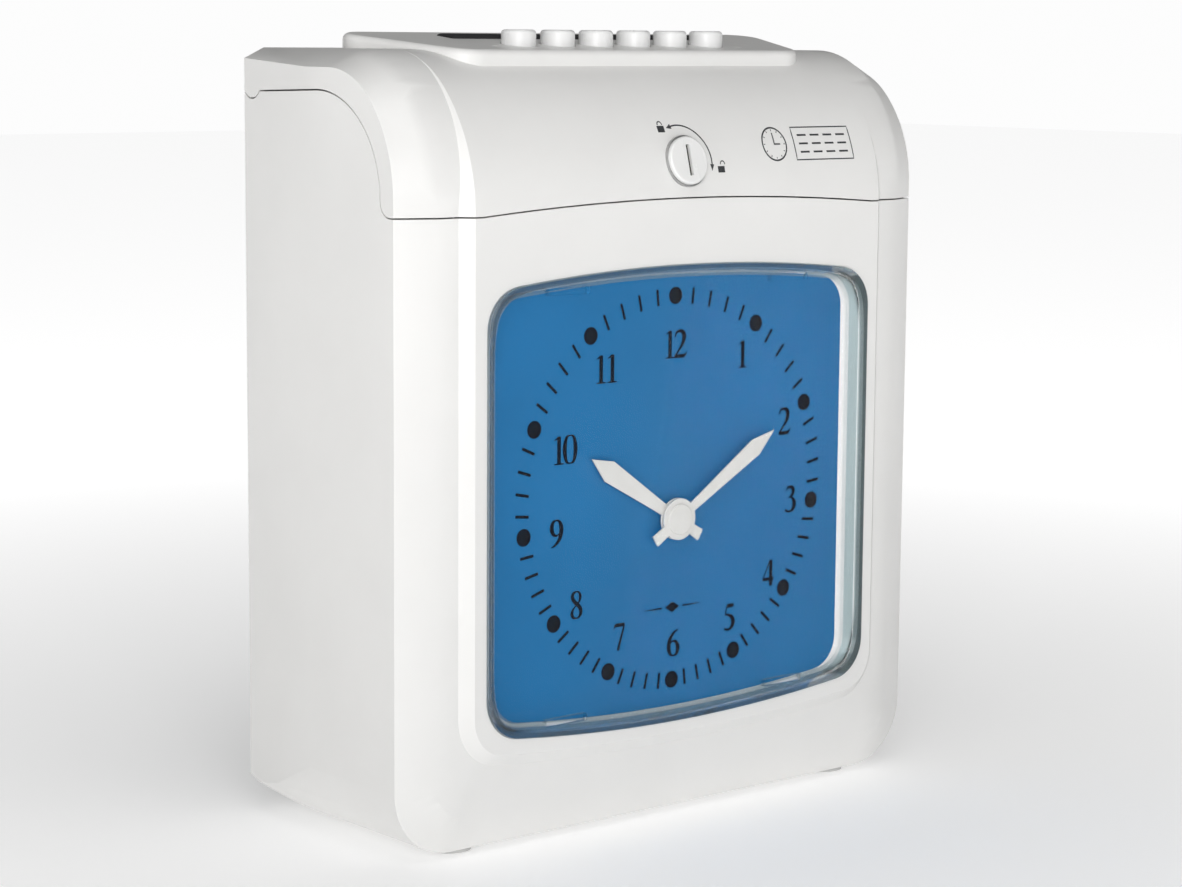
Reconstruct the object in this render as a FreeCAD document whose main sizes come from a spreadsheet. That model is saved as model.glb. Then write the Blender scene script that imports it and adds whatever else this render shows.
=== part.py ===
"""Punch time clock: a wall or desk time recorder with a round quartz dial.

The machine stands on its feet at z = 0 with the dial facing -Y.  The origin is
the bottom centre of its bounding box.  Depths are counted from the plane of the
main front face and moved there with the function at().  Millimetres throughout.
"""
import FreeCAD
import Part
import Sketcher
import math
import os

doc = FreeCAD.newDocument("punch_time_clock")
V = FreeCAD.Vector

# ---------------------------------------------------------------- dimensions
SIZES = [
    # housing
    ("front_y", -46.9, "plane of the main front face"),
    ("case_half", 113.0, "half width of the housing"),
    ("top_z", 255.9, "flat top of the housing"),
    ("base_z", 1.9, "underside of the housing"),
    ("rear_depth", 94.75, "front face to rear edge"),
    ("crease_depth", 52.4, "where the sides start to taper"),
    ("floor_crease", 54.4, "where the underside starts to rise"),
    ("rear_half", 108.0, "half width at the rear edge"),
    ("rear_rise", 11.0, "rise of the underside at the rear"),
    ("wall", 2.6, "moulding wall"),
    ("corner_r", 22.0, "bottom corners seen from the front"),
    ("band_front", 12.66, "outer chamfer, measured on the front"),
    ("band_side", 5.75, "outer chamfer, measured on the side"),
    ("brow_y", 40.0, "rounded top front edge, horizontal half axis"),
    ("brow_z", 46.0, "rounded top front edge, vertical half axis"),
    ("brow_r", 36.0, "rounded top front edge, radius at the flat top"),
    ("bezel_half", 92.3, "raised bezel, half width at its foot"),
    ("bezel_proud", 3.48, "raised bezel in front of the main face"),
    ("bezel_slope", 4.0, "sloped edge of the bezel"),
    ("bezel_z", 25.6, "lowest point of the bezel foot"),
    ("bezel_r", 17.0, "bezel corner radius"),
    ("bezel_arc", 900.0, "radius of the curved bottom edge of the bezel"),
    ("bezel_lean_z", 205.0, "height where the bezel starts to lean back"),
    ("bezel_brow_r", 38.0, "bezel, radius where it fades into the flat top"),
    ("bezel_back", 60.0, "how far the bezel reaches back inside the lid"),
    # window
    ("window_half", 83.7, "window half width at the bezel face"),
    ("window_low", 33.5, "lowest point of the window"),
    ("window_high", 186.6, "highest point of the window"),
    ("window_arc", 640.0, "radius of the curved top and bottom edges"),
    ("window_r", 14.0, "window corner radius"),
    ("reveal_side", 6.9, "sloped reveal at the sides"),
    ("reveal_end", 3.8, "sloped reveal at top and bottom"),
    ("reveal_r_drop", 3.0, "corner radius lost along the reveal"),
    # window lens
    ("lens_gap", 0.35, "clearance round the lens"),
    ("lens_wall", 1.85, "wall of the lens tray"),
    ("lens_front", -4.3, "front of the lens, from the front face"),
    ("lens_rear", 0.6, "rear edge of the lens, from the front face"),
    ("lens_t", 2.2, "thickness of the lens face"),
    ("lens_sink_x", 4.4, "slope of the lens sides"),
    ("lens_sink_z", 2.5, "slope of the lens top and bottom"),
    ("lens_sink_r", 1.0, "corner radius lost along the lens"),
    ("clip_w", 17.0, "lens clip width"),
    ("clip_h", 2.4, "lens clip height"),
    ("clip_edge", 5.5, "lens clip above the lowest point of the window"),
    ("clip_left", -58.0, "left clip starts here"),
    ("clip_right", 39.0, "right clip starts here"),
    # lid split
    ("split_z", 204.8, "joint line across the front"),
    ("split_rise", 3.6, "arch of the joint line in the middle"),
    ("split_half", 85.0, "half width of that arch"),
    ("split_start", 7.5, "depth where the joint line turns upwards"),
    ("split_turn", 4.8, "radius of that turn"),
    ("split_top", 242.6, "joint line along the sides"),
    ("split_fall", 1.2, "fall of the joint line towards the rear"),
    ("split_r", 33.7, "curve of the joint line on the side"),
    ("joint_gap", 0.5, "open joint between lid and case"),
    # lid hinge
    ("hinge_depth", 89.5, "lid hinge axis behind the front face"),
    ("hinge_z", 246.5, "lid hinge axis height"),
    ("lobe_r", 6.8, "rear of the lid, rounded about the hinge"),
    ("pin_r", 1.5, "hinge pin radius"),
    ("pin_x", 59.3, "inner end of a hinge pin"),
    ("pin_len", 13.5, "hinge pin length"),
    ("pin_play", 0.05, "running clearance of pins and rods"),
    ("lug_x", 60.0, "inner face of a hinge lug of the case"),
    ("lug_w", 6.0, "hinge lug width"),
    ("lug_r", 2.9, "hinge lug eye"),
    ("lug_low", 222.0, "foot of the lug neck"),
    ("lug_t", 5.1, "lug neck, front to rear"),
    ("ear_x", 67.0, "inner face of a hinge ear of the lid"),
    ("ear_w", 5.0, "hinge ear width"),
    ("ear_r", 4.0, "hinge ear eye"),
    ("ear_t", 6.5, "ear web, front to rear"),
    ("ear_h", 7.2, "ear web height"),
    ("notch_x", 59.4, "notch of the lid skirt, inner end"),
    ("notch_w", 7.2, "notch of the lid skirt, width"),
    # openings of the lid below the keypad panel
    ("well_half", 57.5, "half width of the lid openings"),
    ("key_well_depth", 26.5, "front of the opening below the keys"),
    ("key_well_len", 17.0, "opening below the keys, front to rear"),
    ("card_well_depth", 49.0, "front of the opening below the card throat"),
    ("card_well_len", 12.0, "opening below the card throat, front to rear"),
    # back plate and its opening
    ("rear_hole_half", 95.0, "rear opening, half width"),
    ("rear_hole_low", 24.0, "rear opening, lower edge"),
    ("rear_hole_high", 226.0, "rear opening, upper edge"),
    ("rear_seat_half", 103.0, "recess of the back plate, half width"),
    ("rear_seat_low", 17.5, "recess, lower edge"),
    ("rear_seat_high", 233.0, "recess, upper edge"),
    ("rear_seat", 1.35, "recess depth"),
    ("plate_t", 1.3, "back plate sheet"),
    ("plate_gap", 0.5, "clearance of the back plate in its recess"),
    ("plate_corner", 6.0, "corner radius of the sheets"),
    ("back_screw_x", 99.0, "back plate screws"),
    ("keyhole_x", 60.0, "wall keyholes from the middle"),
    ("keyhole_z", 196.0, "entry of the wall keyholes"),
    ("keyhole_r", 4.5, "entry radius"),
    ("keyhole_slot_r", 2.4, "slot half width"),
    ("keyhole_rise", 11.0, "length of the slot"),
    ("vent_half", 36.0, "vent slot half width"),
    ("vent_z", 52.0, "lowest vent slot"),
    ("vent_pitch", 9.0, "vent slot pitch"),
    ("vent_h", 3.0, "vent slot height"),
    ("pad_x", 86.0, "wall pads from the middle"),
    ("pad_r", 8.0, "wall pad radius"),
    ("pad_t", 4.6, "wall pad thickness"),
    ("pad_bore", 2.1, "wall pad hole radius"),
    # fastenings and feet
    ("screw_r", 1.45, "small screw shank radius"),
    ("screw_hole", 1.5, "clearance hole radius of the small screws"),
    ("foot_r", 7.0, "foot radius"),
    ("foot_h", 12.0, "longest foot before it is trimmed to the housing"),
    ("foot_stud_r", 1.9, "foot stud radius"),
    ("foot_hole_r", 2.0, "foot hole radius"),
    ("foot_front_x", 84.2, "front feet from the middle"),
    ("foot_front", 15.0, "front feet behind the front face"),
    ("foot_front_stud", 5.0, "front foot stud"),
    ("foot_rear_x", 80.0, "rear feet from the middle"),
    ("foot_rear", 76.0, "rear feet behind the front face"),
    ("foot_rear_stud", 11.0, "rear foot stud"),
    # dial and hands
    ("dial_z", 101.2, "height of the hand arbor"),
    ("dial_t", 1.6, "dial plate"),
    ("dial_half", 84.0, "dial plate half width"),
    ("dial_low", 29.0, "dial plate lower edge"),
    ("dial_high", 189.0, "dial plate upper edge"),
    ("dial_bore", 4.1, "hole for the movement bush"),
    ("dial_screw_x", 80.5, "dial screws from the middle"),
    ("hub_r", 7.0, "hand hubs"),
    ("minute_len", 50.5, "minute hand from hub to tip"),
    ("minute_w", 6.2, "minute hand width"),
    ("hour_len", 43.8, "hour hand from hub to tip"),
    ("hour_w", 7.4, "hour hand width"),
    ("tail_len", 12.4, "hand tails"),
    ("tail_neck", 1.6, "half width of a tail at the hub"),
    ("tail_end", 2.0, "half width of a tail at its end"),
    ("minute_angle", 58.2, "clockwise from twelve"),
    ("hour_angle", 302.0, "clockwise from twelve"),
    ("hand_t", 0.6, "hand sheet"),
    ("hour_depth", 0.55, "front of the hour hand, from the front face"),
    ("minute_depth", -0.75, "front of the minute hand, from the front face"),
    ("collet_r", 2.65, "collet of the hour hand"),
    ("hour_bore", 1.65, "bore of the hour hand"),
    ("arbor_r", 1.55, "minute arbor"),
    ("arbor_len", 7.7, "minute arbor length"),
    ("hub_cap_r", 5.2, "cap on the minute arbor"),
    ("hub_cap_t", 0.65, "cap thickness"),
    ("hub_cap_depth", -1.45, "front of the cap, from the front face"),
    # quartz movement
    ("movement", 56.0, "quartz movement case, square"),
    ("movement_t", 15.0, "movement case thickness"),
    ("bush_r", 4.0, "threaded bush of the movement"),
    ("bush_bore", 2.75, "bore of the bush"),
    ("cell_bay_half", 24.0, "battery bay of the movement, half width"),
    ("nut_r", 5.2, "bush nut across corners, radius"),
    ("nut_t", 1.25, "bush nut thickness"),
    # keypad panel
    ("panel_floor", 240.0, "the panel is cut to the lid from this height up"),
    ("panel_front", 20.6, "front edge behind the front face"),
    ("panel_front_half", 66.0, "half width of the front edge"),
    ("panel_shoulder", 27.5, "depth of the front shoulders"),
    ("panel_shoulder_half", 76.5, "half width at the front shoulders"),
    ("panel_front_r", 11.4, "front corner radius"),
    ("panel_wide", 58.0, "depth of the widest point"),
    ("panel_half", 89.5, "half width of the widest point"),
    ("panel_rear", 70.5, "rear edge"),
    ("panel_rear_half", 81.2, "half width of the rear edge"),
    ("panel_rear_r", 9.0, "rear corner radius"),
    ("panel_low_top", 255.7, "top face at its front"),
    ("panel_high_top", 263.7, "top face, carried on to its rear"),
    ("panel_rim_r", 2.2, "rounded rim"),
    ("peg_x", 53.0, "key board pegs from the middle"),
    ("peg_depth", 33.0, "key board pegs behind the front face"),
    ("peg_r", 1.4, "peg through the key board"),
    # keys
    ("key_r", 5.75, "key cap radius"),
    ("key_gap", 0.3, "clearance round a key"),
    ("key_pitch", 16.45, "distance from key to key"),
    ("key_depth", 34.8, "keys behind the front face"),
    ("key_top", 262.3, "top of the key caps"),
    ("key_base", 254.0, "lower end of the key caps"),
    ("key_edge_r", 1.3, "rounded key edge"),
    ("key_stem_r", 2.2, "key stem radius"),
    ("key_stem_base", 252.0, "lower end of the key stems"),
    ("key_board_z", 244.4, "underside of the key board"),
    ("board_t", 1.6, "circuit board thickness"),
    ("key_board_half", 56.0, "key board half width"),
    ("key_board_depth", 25.5, "front of the key board"),
    ("key_board_len", 20.0, "key board, front to rear"),
    ("switch_w", 6.0, "push switch, square"),
    ("switch_h", 2.6, "push switch body"),
    ("switch_r", 1.7, "push switch plunger"),
    # card path
    ("slot_depth", 55.0, "card path behind the front face"),
    ("slot_half", 45.0, "card path half width"),
    ("slot_gap", 5.0, "card path thickness"),
    ("throat_half", 56.0, "card throat half width"),
    ("throat_depth", 50.5, "front of the card throat"),
    ("throat_len", 9.0, "card throat, front to rear"),
    ("throat_low", 243.6, "lower end of the card throat"),
    ("throat_top", 260.9, "top of the card throat"),
    ("throat_edge_r", 1.2, "rounded throat edge"),
    ("throat_gap", 0.2, "clearance round the throat"),
    ("mouth_half", 54.0, "flared mouth, half width"),
    ("mouth_reach", 3.6, "flared mouth, half thickness"),
    ("mouth_low", 249.0, "lower end of the flare"),
    ("guide_half", 49.0, "card guides, half width"),
    ("guide_low", 70.0, "lower end of the card guides"),
    ("guide_len", 171.0, "height of the card guides"),
    ("guide_t", 1.5, "card guide sheet"),
    ("rail_w", 3.4, "side rails of the card guide"),
    ("print_half", 43.5, "printing window, half width"),
    ("roller_window_w", 16.0, "windows of the guides for the rollers"),
    ("platen_half", 43.0, "platen half width"),
    ("platen_z", 206.5, "lower edge of the platen"),
    ("platen_h", 11.0, "platen height"),
    # lock
    ("lock_z", 220.0, "lock centre height"),
    ("lock_depth", -1.5, "lock centre on the leaning lid face"),
    ("lock_tilt", 14.7, "the lid face leans back here"),
    ("lock_r", 8.0, "lock face radius"),
    ("lock_face_t", 2.0, "lock face thickness"),
    ("lock_face_out", 2.2, "lock face in front of the lid"),
    ("lock_edge_r", 0.7, "rounded lock face edge"),
    ("lock_hole_r", 6.1, "hole of the lid"),
    ("sleeve_r", 6.0, "lock sleeve"),
    ("sleeve_len", 18.6, "lock sleeve length"),
    ("sleeve_nut_r", 8.3, "clamping nut behind the lid wall"),
    ("sleeve_nut_t", 2.2, "clamping nut thickness"),
    ("sleeve_bore", 4.55, "bore of the sleeve"),
    ("plug_r", 4.5, "turning plug"),
    ("plug_len", 20.4, "turning plug length"),
    ("keyway_w", 1.6, "keyway width"),
    ("keyway_h", 10.4, "keyway height"),
    ("cam_r", 5.5, "lock cam boss"),
    ("cam_len", 20.0, "lock cam reach"),
    ("cam_w", 8.0, "lock cam width"),
    ("strike_half", 12.0, "strike half width"),
    ("strike_z", 195.0, "foot of the strike"),
    ("strike_t", 1.4, "strike sheet"),
    # mechanism frame
    ("frame_half", 78.0, "mechanism frame half width"),
    ("frame_t", 1.2, "mechanism frame sheet"),
    ("frame_depth", 66.8, "rear web of the frame"),
    ("frame_low", 66.0, "lower end of the web"),
    ("frame_h", 166.0, "height of the web"),
    ("cheek_depth", 26.0, "front edge of the cheeks"),
    ("cheek_low", 126.0, "lower edge of the cheeks"),
    ("cheek_len", 41.4, "cheeks, front to rear"),
    ("cheek_h", 106.0, "height of the cheeks"),
    ("tie_depth", 28.6, "tie strip between the cheeks"),
    ("tie_z", 166.0, "lower edge of the tie strip"),
    ("tie_h", 20.0, "height of the tie strip"),
    ("frame_post_x", 70.0, "posts of the frame from the middle"),
    ("board_post_x", 62.0, "posts of the main board from the middle"),
    ("frame_post_r", 3.2, "frame post radius"),
    ("board_post_r", 3.0, "board post radius"),
    # card feed
    ("drive_depth", 47.8, "drive shaft behind the front face"),
    ("idler_depth", 61.3, "idler shaft behind the front face"),
    ("feed_z", 150.0, "height of both shafts"),
    ("drive_r", 3.0, "drive shaft radius"),
    ("idler_r", 2.0, "idler shaft radius"),
    ("roller_r", 7.0, "drive roller radius"),
    ("idler_roller_r", 6.1, "idler roller radius"),
    ("roller_w", 14.0, "roller width"),
    ("roller_left", -29.0, "left rollers start here"),
    ("roller_right", 15.0, "right rollers start here"),
    ("shaft_x", -79.5, "left end of the shafts and rods"),
    ("shaft_len", 159.0, "length between the cheeks with both ends"),
    ("drive_len", 166.0, "drive shaft, long enough for the gear"),
    ("shaft_play", 0.02, "running clearance in the cheeks"),
    ("gear_x", 80.0, "gears outside the right cheek"),
    ("gear_w", 5.0, "gear face width"),
    ("gear_r", 15.0, "feed gear pitch radius"),
    ("pinion_r", 4.1, "pinion pitch radius"),
    ("tooth_root", 0.9, "root circle inside the pitch circle"),
    ("tooth_sink", 1.3, "teeth start this far inside the pitch circle"),
    ("tooth_tip", 0.75, "tip circle outside the pitch circle"),
    ("tooth_foot", 0.85, "half thickness of a tooth at its foot"),
    ("tooth_end", 0.3, "half thickness of a tooth at its tip"),
    ("motor_depth", 36.2, "feed motor behind the front face"),
    ("motor_z", 134.6, "feed motor height"),
    ("motor_r", 15.5, "feed motor radius"),
    ("motor_x", 56.0, "rear end of the feed motor"),
    ("motor_len", 20.6, "feed motor length"),
    ("motor_boss_r", 5.5, "feed motor boss"),
    ("motor_shaft_r", 1.2, "motor shafts"),
    ("motor_bore", 1.25, "bores for the motor shafts"),
    # printer
    ("rod_front", 33.0, "front carriage rod behind the front face"),
    ("rod_rear", 45.5, "rear carriage rod behind the front face"),
    ("rod_z", 192.0, "height of both rods"),
    ("rod_front_r", 3.0, "front carriage rod radius"),
    ("rod_rear_r", 2.5, "rear carriage rod radius"),
    ("carriage_half", 16.0, "carriage half width"),
    ("carriage_depth", 29.0, "front of the carriage"),
    ("carriage_z", 187.5, "underside of the carriage"),
    ("carriage_len", 20.5, "carriage, front to rear"),
    ("carriage_h", 11.5, "carriage height"),
    ("head_half", 11.0, "print head half width"),
    ("head_depth", 31.0, "front of the print head"),
    ("head_z", 199.0, "underside of the print head"),
    ("head_len", 16.0, "print head, front to rear"),
    ("head_h", 22.0, "print head height"),
    ("needle_r", 0.15, "print needle radius"),
    ("needle_pitch", 0.85, "print needle pitch"),
    ("ribbon_half", 66.0, "ribbon cartridge half width"),
    ("arm_x", 50.0, "inner side of the cartridge arms"),
    ("arm_w", 12.0, "cartridge arm width"),
    ("knob_x", -50.0, "ribbon knob axis"),
    ("knob_depth", 37.0, "ribbon knob behind the front face"),
    ("belt_x", 56.0, "belt pulleys from the middle"),
    ("belt_z", 180.0, "height of the belt"),
    ("belt_r", 6.0, "outside of the belt on the pulleys"),
    ("belt_t", 1.0, "belt thickness"),
    ("belt_w", 5.0, "belt width"),
    ("belt_depth", 37.0, "front edge of the belt"),
    ("pulley_r", 4.9, "pulley radius"),
    ("flange_r", 6.6, "pulley flange"),
    ("step_motor_r", 16.5, "carriage motor radius"),
    ("step_motor_len", 19.5, "carriage motor length"),
    ("step_motor_depth", 9.0, "front of the carriage motor"),
    # electronics
    ("board_half", 66.0, "main board half width"),
    ("board_depth", 82.0, "main board behind the front face"),
    ("board_z", 48.0, "lower edge of the main board"),
    ("board_h", 124.0, "main board height"),
    ("chip_half", 17.6, "processor half width"),
    ("chip_z", 100.0, "processor lower end"),
    ("chip_h", 37.0, "processor height"),
    ("lead_pitch", 2.6, "processor lead pitch"),
    ("cell_x", 26.0, "first backup cell"),
    ("cell_pitch", 15.2, "distance from cell to cell"),
    ("cell_z", 12.2, "height of the cells"),
    ("cell_r", 7.2, "backup cell radius"),
    ("cell_space_r", 7.4, "cell bay radius"),
    ("inlet_x", 59.0, "middle of the power inlet"),
    ("inlet_z", 33.3, "height of the power inlet"),
    ("terminal_x", -69.7, "first bell terminal"),
    ("terminal_pitch", 7.8, "distance from terminal to terminal"),
]


class Dim:
    """A size that keeps both its value and the formula it comes from."""

    def __init__(self, value, text):
        self.value = value
        self.text = text

    def __add__(self, other):
        o = dim(other)
        return Dim(self.value + o.value, f"({self.text} + {o.text})")

    def __radd__(self, other):
        return dim(other) + self

    def __sub__(self, other):
        o = dim(other)
        return Dim(self.value - o.value, f"({self.text} - {o.text})")

    def __rsub__(self, other):
        return dim(other) - self

    def __mul__(self, other):
        o = dim(other)
        return Dim(self.value * o.value, f"({self.text} * {o.text})")

    def __rmul__(self, other):
        return dim(other) * self

    def __truediv__(self, other):
        o = dim(other)
        return Dim(self.value / o.value, f"({self.text} / {o.text})")

    def __neg__(self):
        return Dim(-self.value, f"(0 - {self.text})")


def dim(x):
    return x if isinstance(x, Dim) else Dim(float(x), f"({float(x):.6f})")


def root(x):
    return Dim(math.sqrt(x.value), f"sqrt({x.text})")


sheet = doc.addObject("Spreadsheet::Sheet", "Sizes")
S = {}
for row, (alias, number, note) in enumerate(SIZES, start=1):
    sheet.set(f"A{row}", note)
    sheet.set(f"B{row}", str(number))
    sheet.setAlias(f"B{row}", alias)
    S[alias] = Dim(float(number), f"Sizes.{alias}")
doc.recompute()


def at(depth):
    """Y of a point that lies this far behind the main front face."""
    return S["front_y"] + depth


# ------------------------------------------------------------------- helpers
PARTS = []


def bind(obj, prop, size):
    """Give a property its value from the sheet."""
    d = dim(size)
    head = prop.split(".")[0]
    if prop == head:
        setattr(obj, prop, d.value)
    obj.setExpression(prop, d.text)


def place(obj, x, y, z):
    bind(obj, "Placement.Base.x", x)
    bind(obj, "Placement.Base.y", y)
    bind(obj, "Placement.Base.z", z)


def box(x, y, z, dx, dy, dz, name="Block"):
    """Block given by its lower corner and its three sizes."""
    b = doc.addObject("Part::Box", name)
    bind(b, "Length", dx)
    bind(b, "Width", dy)
    bind(b, "Height", dz)
    place(b, x, y, z)
    return b


TURN = {
    "Z": FreeCAD.Rotation(V(0, 0, 1), 0),
    "Y": FreeCAD.Rotation(V(1, 0, 0), -90),
    "X": FreeCAD.Rotation(V(0, 1, 0), 90),
}


def cyl(axis, x, y, z, r, length, name="Round"):
    """Cylinder from a base point along +X, +Y or +Z."""
    c = doc.addObject("Part::Cylinder", name)
    bind(c, "Radius", r)
    bind(c, "Height", length)
    c.Placement = FreeCAD.Placement(V(0, 0, 0), TURN[axis])
    place(c, x, y, z)
    return c


def fuse(*shapes, name="Union"):
    f = doc.addObject("Part::MultiFuse", name)
    f.Shapes = list(shapes)
    return f


def group(*shapes, name="Set"):
    """Separate solids kept side by side in one node."""
    g = doc.addObject("Part::Compound", name)
    g.Links = list(shapes)
    return g


def cut(base, *tools, name="Cut"):
    c = doc.addObject("Part::Cut", name)
    c.Base = base
    c.Tool = tools[0] if len(tools) == 1 else fuse(*tools, name="Tools")
    return c


def common(a, b, name="Common"):
    c = doc.addObject("Part::Common", name)
    c.Base = a
    c.Tool = b
    return c


def near(a, b, tol=0.01):
    return abs(a - b) < tol


def rounded(base, radius, pick, name="Rounded"):
    """Fillet of every edge that pick() accepts."""
    doc.recompute()
    f = doc.addObject("Part::Fillet", name)
    f.Base = base
    f.Edges = [(i, radius, radius) for i, e in enumerate(base.Shape.Edges, 1) if pick(e)]
    return f


def tilted(obj, axis, angle, centre):
    """Turn an object about a point."""
    turn = FreeCAD.Placement(V(0, 0, 0), FreeCAD.Rotation(axis, angle), centre)
    obj.Placement = turn.multiply(obj.Placement)
    return obj


def node(obj, name):
    """Mark an object as one finished piece."""
    obj.Label = name
    PARTS.append(obj)
    return obj


# PartDesign helpers
def new_body(name):
    return doc.addObject("PartDesign::Body", name)


def new_sketch(body, role, offset=0.0):
    """Sketch on an origin plane of the body, moved along the plane's normal."""
    sk = body.newObject("Sketcher::SketchObject", "Sketch")
    plane = [o for o in body.Origin.OriginFeatures if o.Role == role][0]
    sk.AttachmentSupport = (plane, [""])
    sk.MapMode = "FlatFace"
    d = dim(offset)
    if role == "XZ_Plane":
        d = -d
    sk.AttachmentOffset = FreeCAD.Placement(V(0, 0, d.value), FreeCAD.Rotation())
    sk.setExpression("AttachmentOffset.Base.z", d.text)
    return sk


def pin_down(sk, geo, end, u, v):
    """Fix one end of a line or arc at (u, v)."""
    for kind, size in (("DistanceX", dim(u)), ("DistanceY", dim(v))):
        n = sk.addConstraint(Sketcher.Constraint(kind, -1, 1, geo, end, size.value))
        sk.setExpression(f"Constraints[{n}]", size.text)


def arc_middle(p, q, r):
    """Middle point of the short arc from p to q; r > 0 turns left."""
    mx, my = (p[0] + q[0]) / 2, (p[1] + q[1]) / 2
    dx, dy = q[0] - p[0], q[1] - p[1]
    chord = math.hypot(dx, dy)
    sag = abs(r) - math.sqrt(max(r * r - chord * chord / 4, 0.0))
    side = 1.0 if r > 0 else -1.0
    return mx + side * sag * dy / chord, my - side * sag * dx / chord


def outline(sk, points):
    """Closed outline.  A third value on a point bends the next side to that radius."""
    flat = [(dim(p[0]).value, dim(p[1]).value) for p in points]
    first = None
    for i, p in enumerate(points):
        a, b = flat[i], flat[(i + 1) % len(points)]
        if len(p) == 3:
            r = dim(p[2])
            m = arc_middle(a, b, r.value)
            p1, p2 = (a, b) if r.value > 0 else (b, a)
            arc = Part.Arc(V(p1[0], p1[1], 0), V(m[0], m[1], 0), V(p2[0], p2[1], 0))
            geo = sk.addGeometry(arc, False)
            ends = (1, 2) if r.value > 0 else (2, 1)
            n = sk.addConstraint(Sketcher.Constraint("Radius", geo, abs(r.value)))
            sk.setExpression(f"Constraints[{n}]", f"abs({r.text})")
        else:
            geo = sk.addGeometry(Part.LineSegment(V(a[0], a[1], 0), V(b[0], b[1], 0)), False)
            ends = (1, 2)
        pin_down(sk, geo, ends[0], p[0], p[1])
        if first is None:
            first = (geo, ends[0])
        else:
            sk.addConstraint(Sketcher.Constraint("Coincident", last[0], last[1], geo, ends[0]))
        last = (geo, ends[1])
    sk.addConstraint(Sketcher.Constraint("Coincident", last[0], last[1], first[0], first[1]))


def ring(sk, u, v, r):
    """Circle in a sketch."""
    cu, cv, cr = dim(u), dim(v), dim(r)
    geo = sk.addGeometry(Part.Circle(V(cu.value, cv.value, 0), V(0, 0, 1), cr.value), False)
    n = sk.addConstraint(Sketcher.Constraint("Radius", geo, cr.value))
    sk.setExpression(f"Constraints[{n}]", cr.text)
    pin_down(sk, geo, 3, u, v)


def pad(body, sk, length, reverse=False):
    p = body.newObject("PartDesign::Pad", "Pad")
    p.Profile = sk
    bind(p, "Length", length)
    p.Reversed = reverse
    body.Tip = p
    return p


def pocket_through(body, sk):
    """Cut through everything on both sides of the sketch."""
    p = body.newObject("PartDesign::Pocket", "Pocket")
    p.Profile = sk
    p.Type = 1
    p.Midplane = True
    body.Tip = p
    return p


def prism(role, start, length, points, name="Prism"):
    """Body made of one outline pushed along +X, +Y or +Z from start."""
    b = new_body(name)
    sk = new_sketch(b, role, start)
    outline(sk, points)
    pad(b, sk, length, reverse=(role == "XZ_Plane"))
    return b


def chamfer_chain(body, on_front, on_side, pick):
    """Chamfer that runs along a whole smooth edge, from one edge that pick() finds."""
    doc.recompute()
    base = body.Tip
    found = [i for i, e in enumerate(base.Shape.Edges, 1) if pick(e)]
    c = body.newObject("PartDesign::Chamfer", "Chamfer")
    c.Base = (base, [f"Edge{found[0]}"])
    c.ChamferType = "Two distances"
    bind(c, "Size", on_front)
    bind(c, "Size2", on_side)
    body.Tip = c
    return c


def soften(body, radius, pick):
    """PartDesign fillet of the edges that pick() accepts."""
    doc.recompute()
    base = body.Tip
    f = body.newObject("PartDesign::Fillet", "Fillet")
    f.Base = (base, [f"Edge{i}" for i, e in enumerate(base.Shape.Edges, 1) if pick(e)])
    bind(f, "Radius", radius)
    body.Tip = f
    return f


# ------------------------------------------------------------- housing forms
BEYOND = 40.0            # how far cutting outlines reach past the housing


def brow(front, low, depth, height, r_top):
    """Outline of what is cut away in front of a rounded top front edge.

    Two tangent arcs: a large one leaving the front face, a smaller one running
    into the flat top.
    """
    r_front = (depth * depth + (height - r_top) * (height - r_top) - r_top * r_top)
    r_front = r_front / (2 * (depth - r_top))
    k = r_top / (r_front - r_top)
    join_y = front + depth + k * (depth - r_front)
    join_z = low + (height - r_top) + k * (height - r_top)
    return [
        (front, low, -r_front),
        (join_y, join_z, -r_top),
        (front + depth, low + height),
        (front + depth, low + height + BEYOND),
        (front - BEYOND, low + height + BEYOND),
        (front - BEYOND, low),
    ]


def housing(inset, name, closed_rear):
    """Main form of the housing, moved inwards by inset."""
    t = dim(inset)
    w = S["case_half"] - t
    zb = S["base_z"] + t
    zt = S["top_z"] - t
    r = S["corner_r"] - t
    low = S["top_z"] - S["brow_z"]
    b = new_body(name)
    sk = new_sketch(b, "XZ_Plane", at(t))
    outline(sk, [(-w, zt), (-w, zb + r, r), (-w + r, zb), (w - r, zb, r),
                 (w, zb + r), (w, zt)])
    pad(b, sk, S["rear_depth"] - t - closed_rear, reverse=True)
    sk = new_sketch(b, "YZ_Plane")
    outline(sk, brow(at(t), low, S["brow_y"] - t, S["brow_z"] - t, S["brow_r"] - t))
    pocket_through(b, sk)

    def front_side(e):
        bb = e.BoundBox
        return near(bb.XMin, w.value) and near(bb.XMax, w.value) and near(bb.YMax, at(t).value)
    chamfer_chain(b, S["band_front"], S["band_side"], front_side)
    # rising underside behind the crease
    back = at(S["rear_depth"] + 1)
    crease = at(S["floor_crease"])
    sk = new_sketch(b, "YZ_Plane")
    outline(sk, [(crease, zb - 8), (back, zb - 8), (back, zb + S["rear_rise"]), (crease, zb)])
    pocket_through(b, sk)
    # tapering sides behind the crease
    for side in (1, -1):
        sk = new_sketch(b, "XY_Plane")
        pts = [(side * w, at(S["crease_depth"])),
               (side * (S["rear_half"] - t), at(S["rear_depth"])),
               (side * (w + 9), at(S["rear_depth"])),
               (side * (w + 9), at(S["crease_depth"]))]
        outline(sk, pts if side > 0 else pts[::-1])
        pocket_through(b, sk)
    return b


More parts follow.
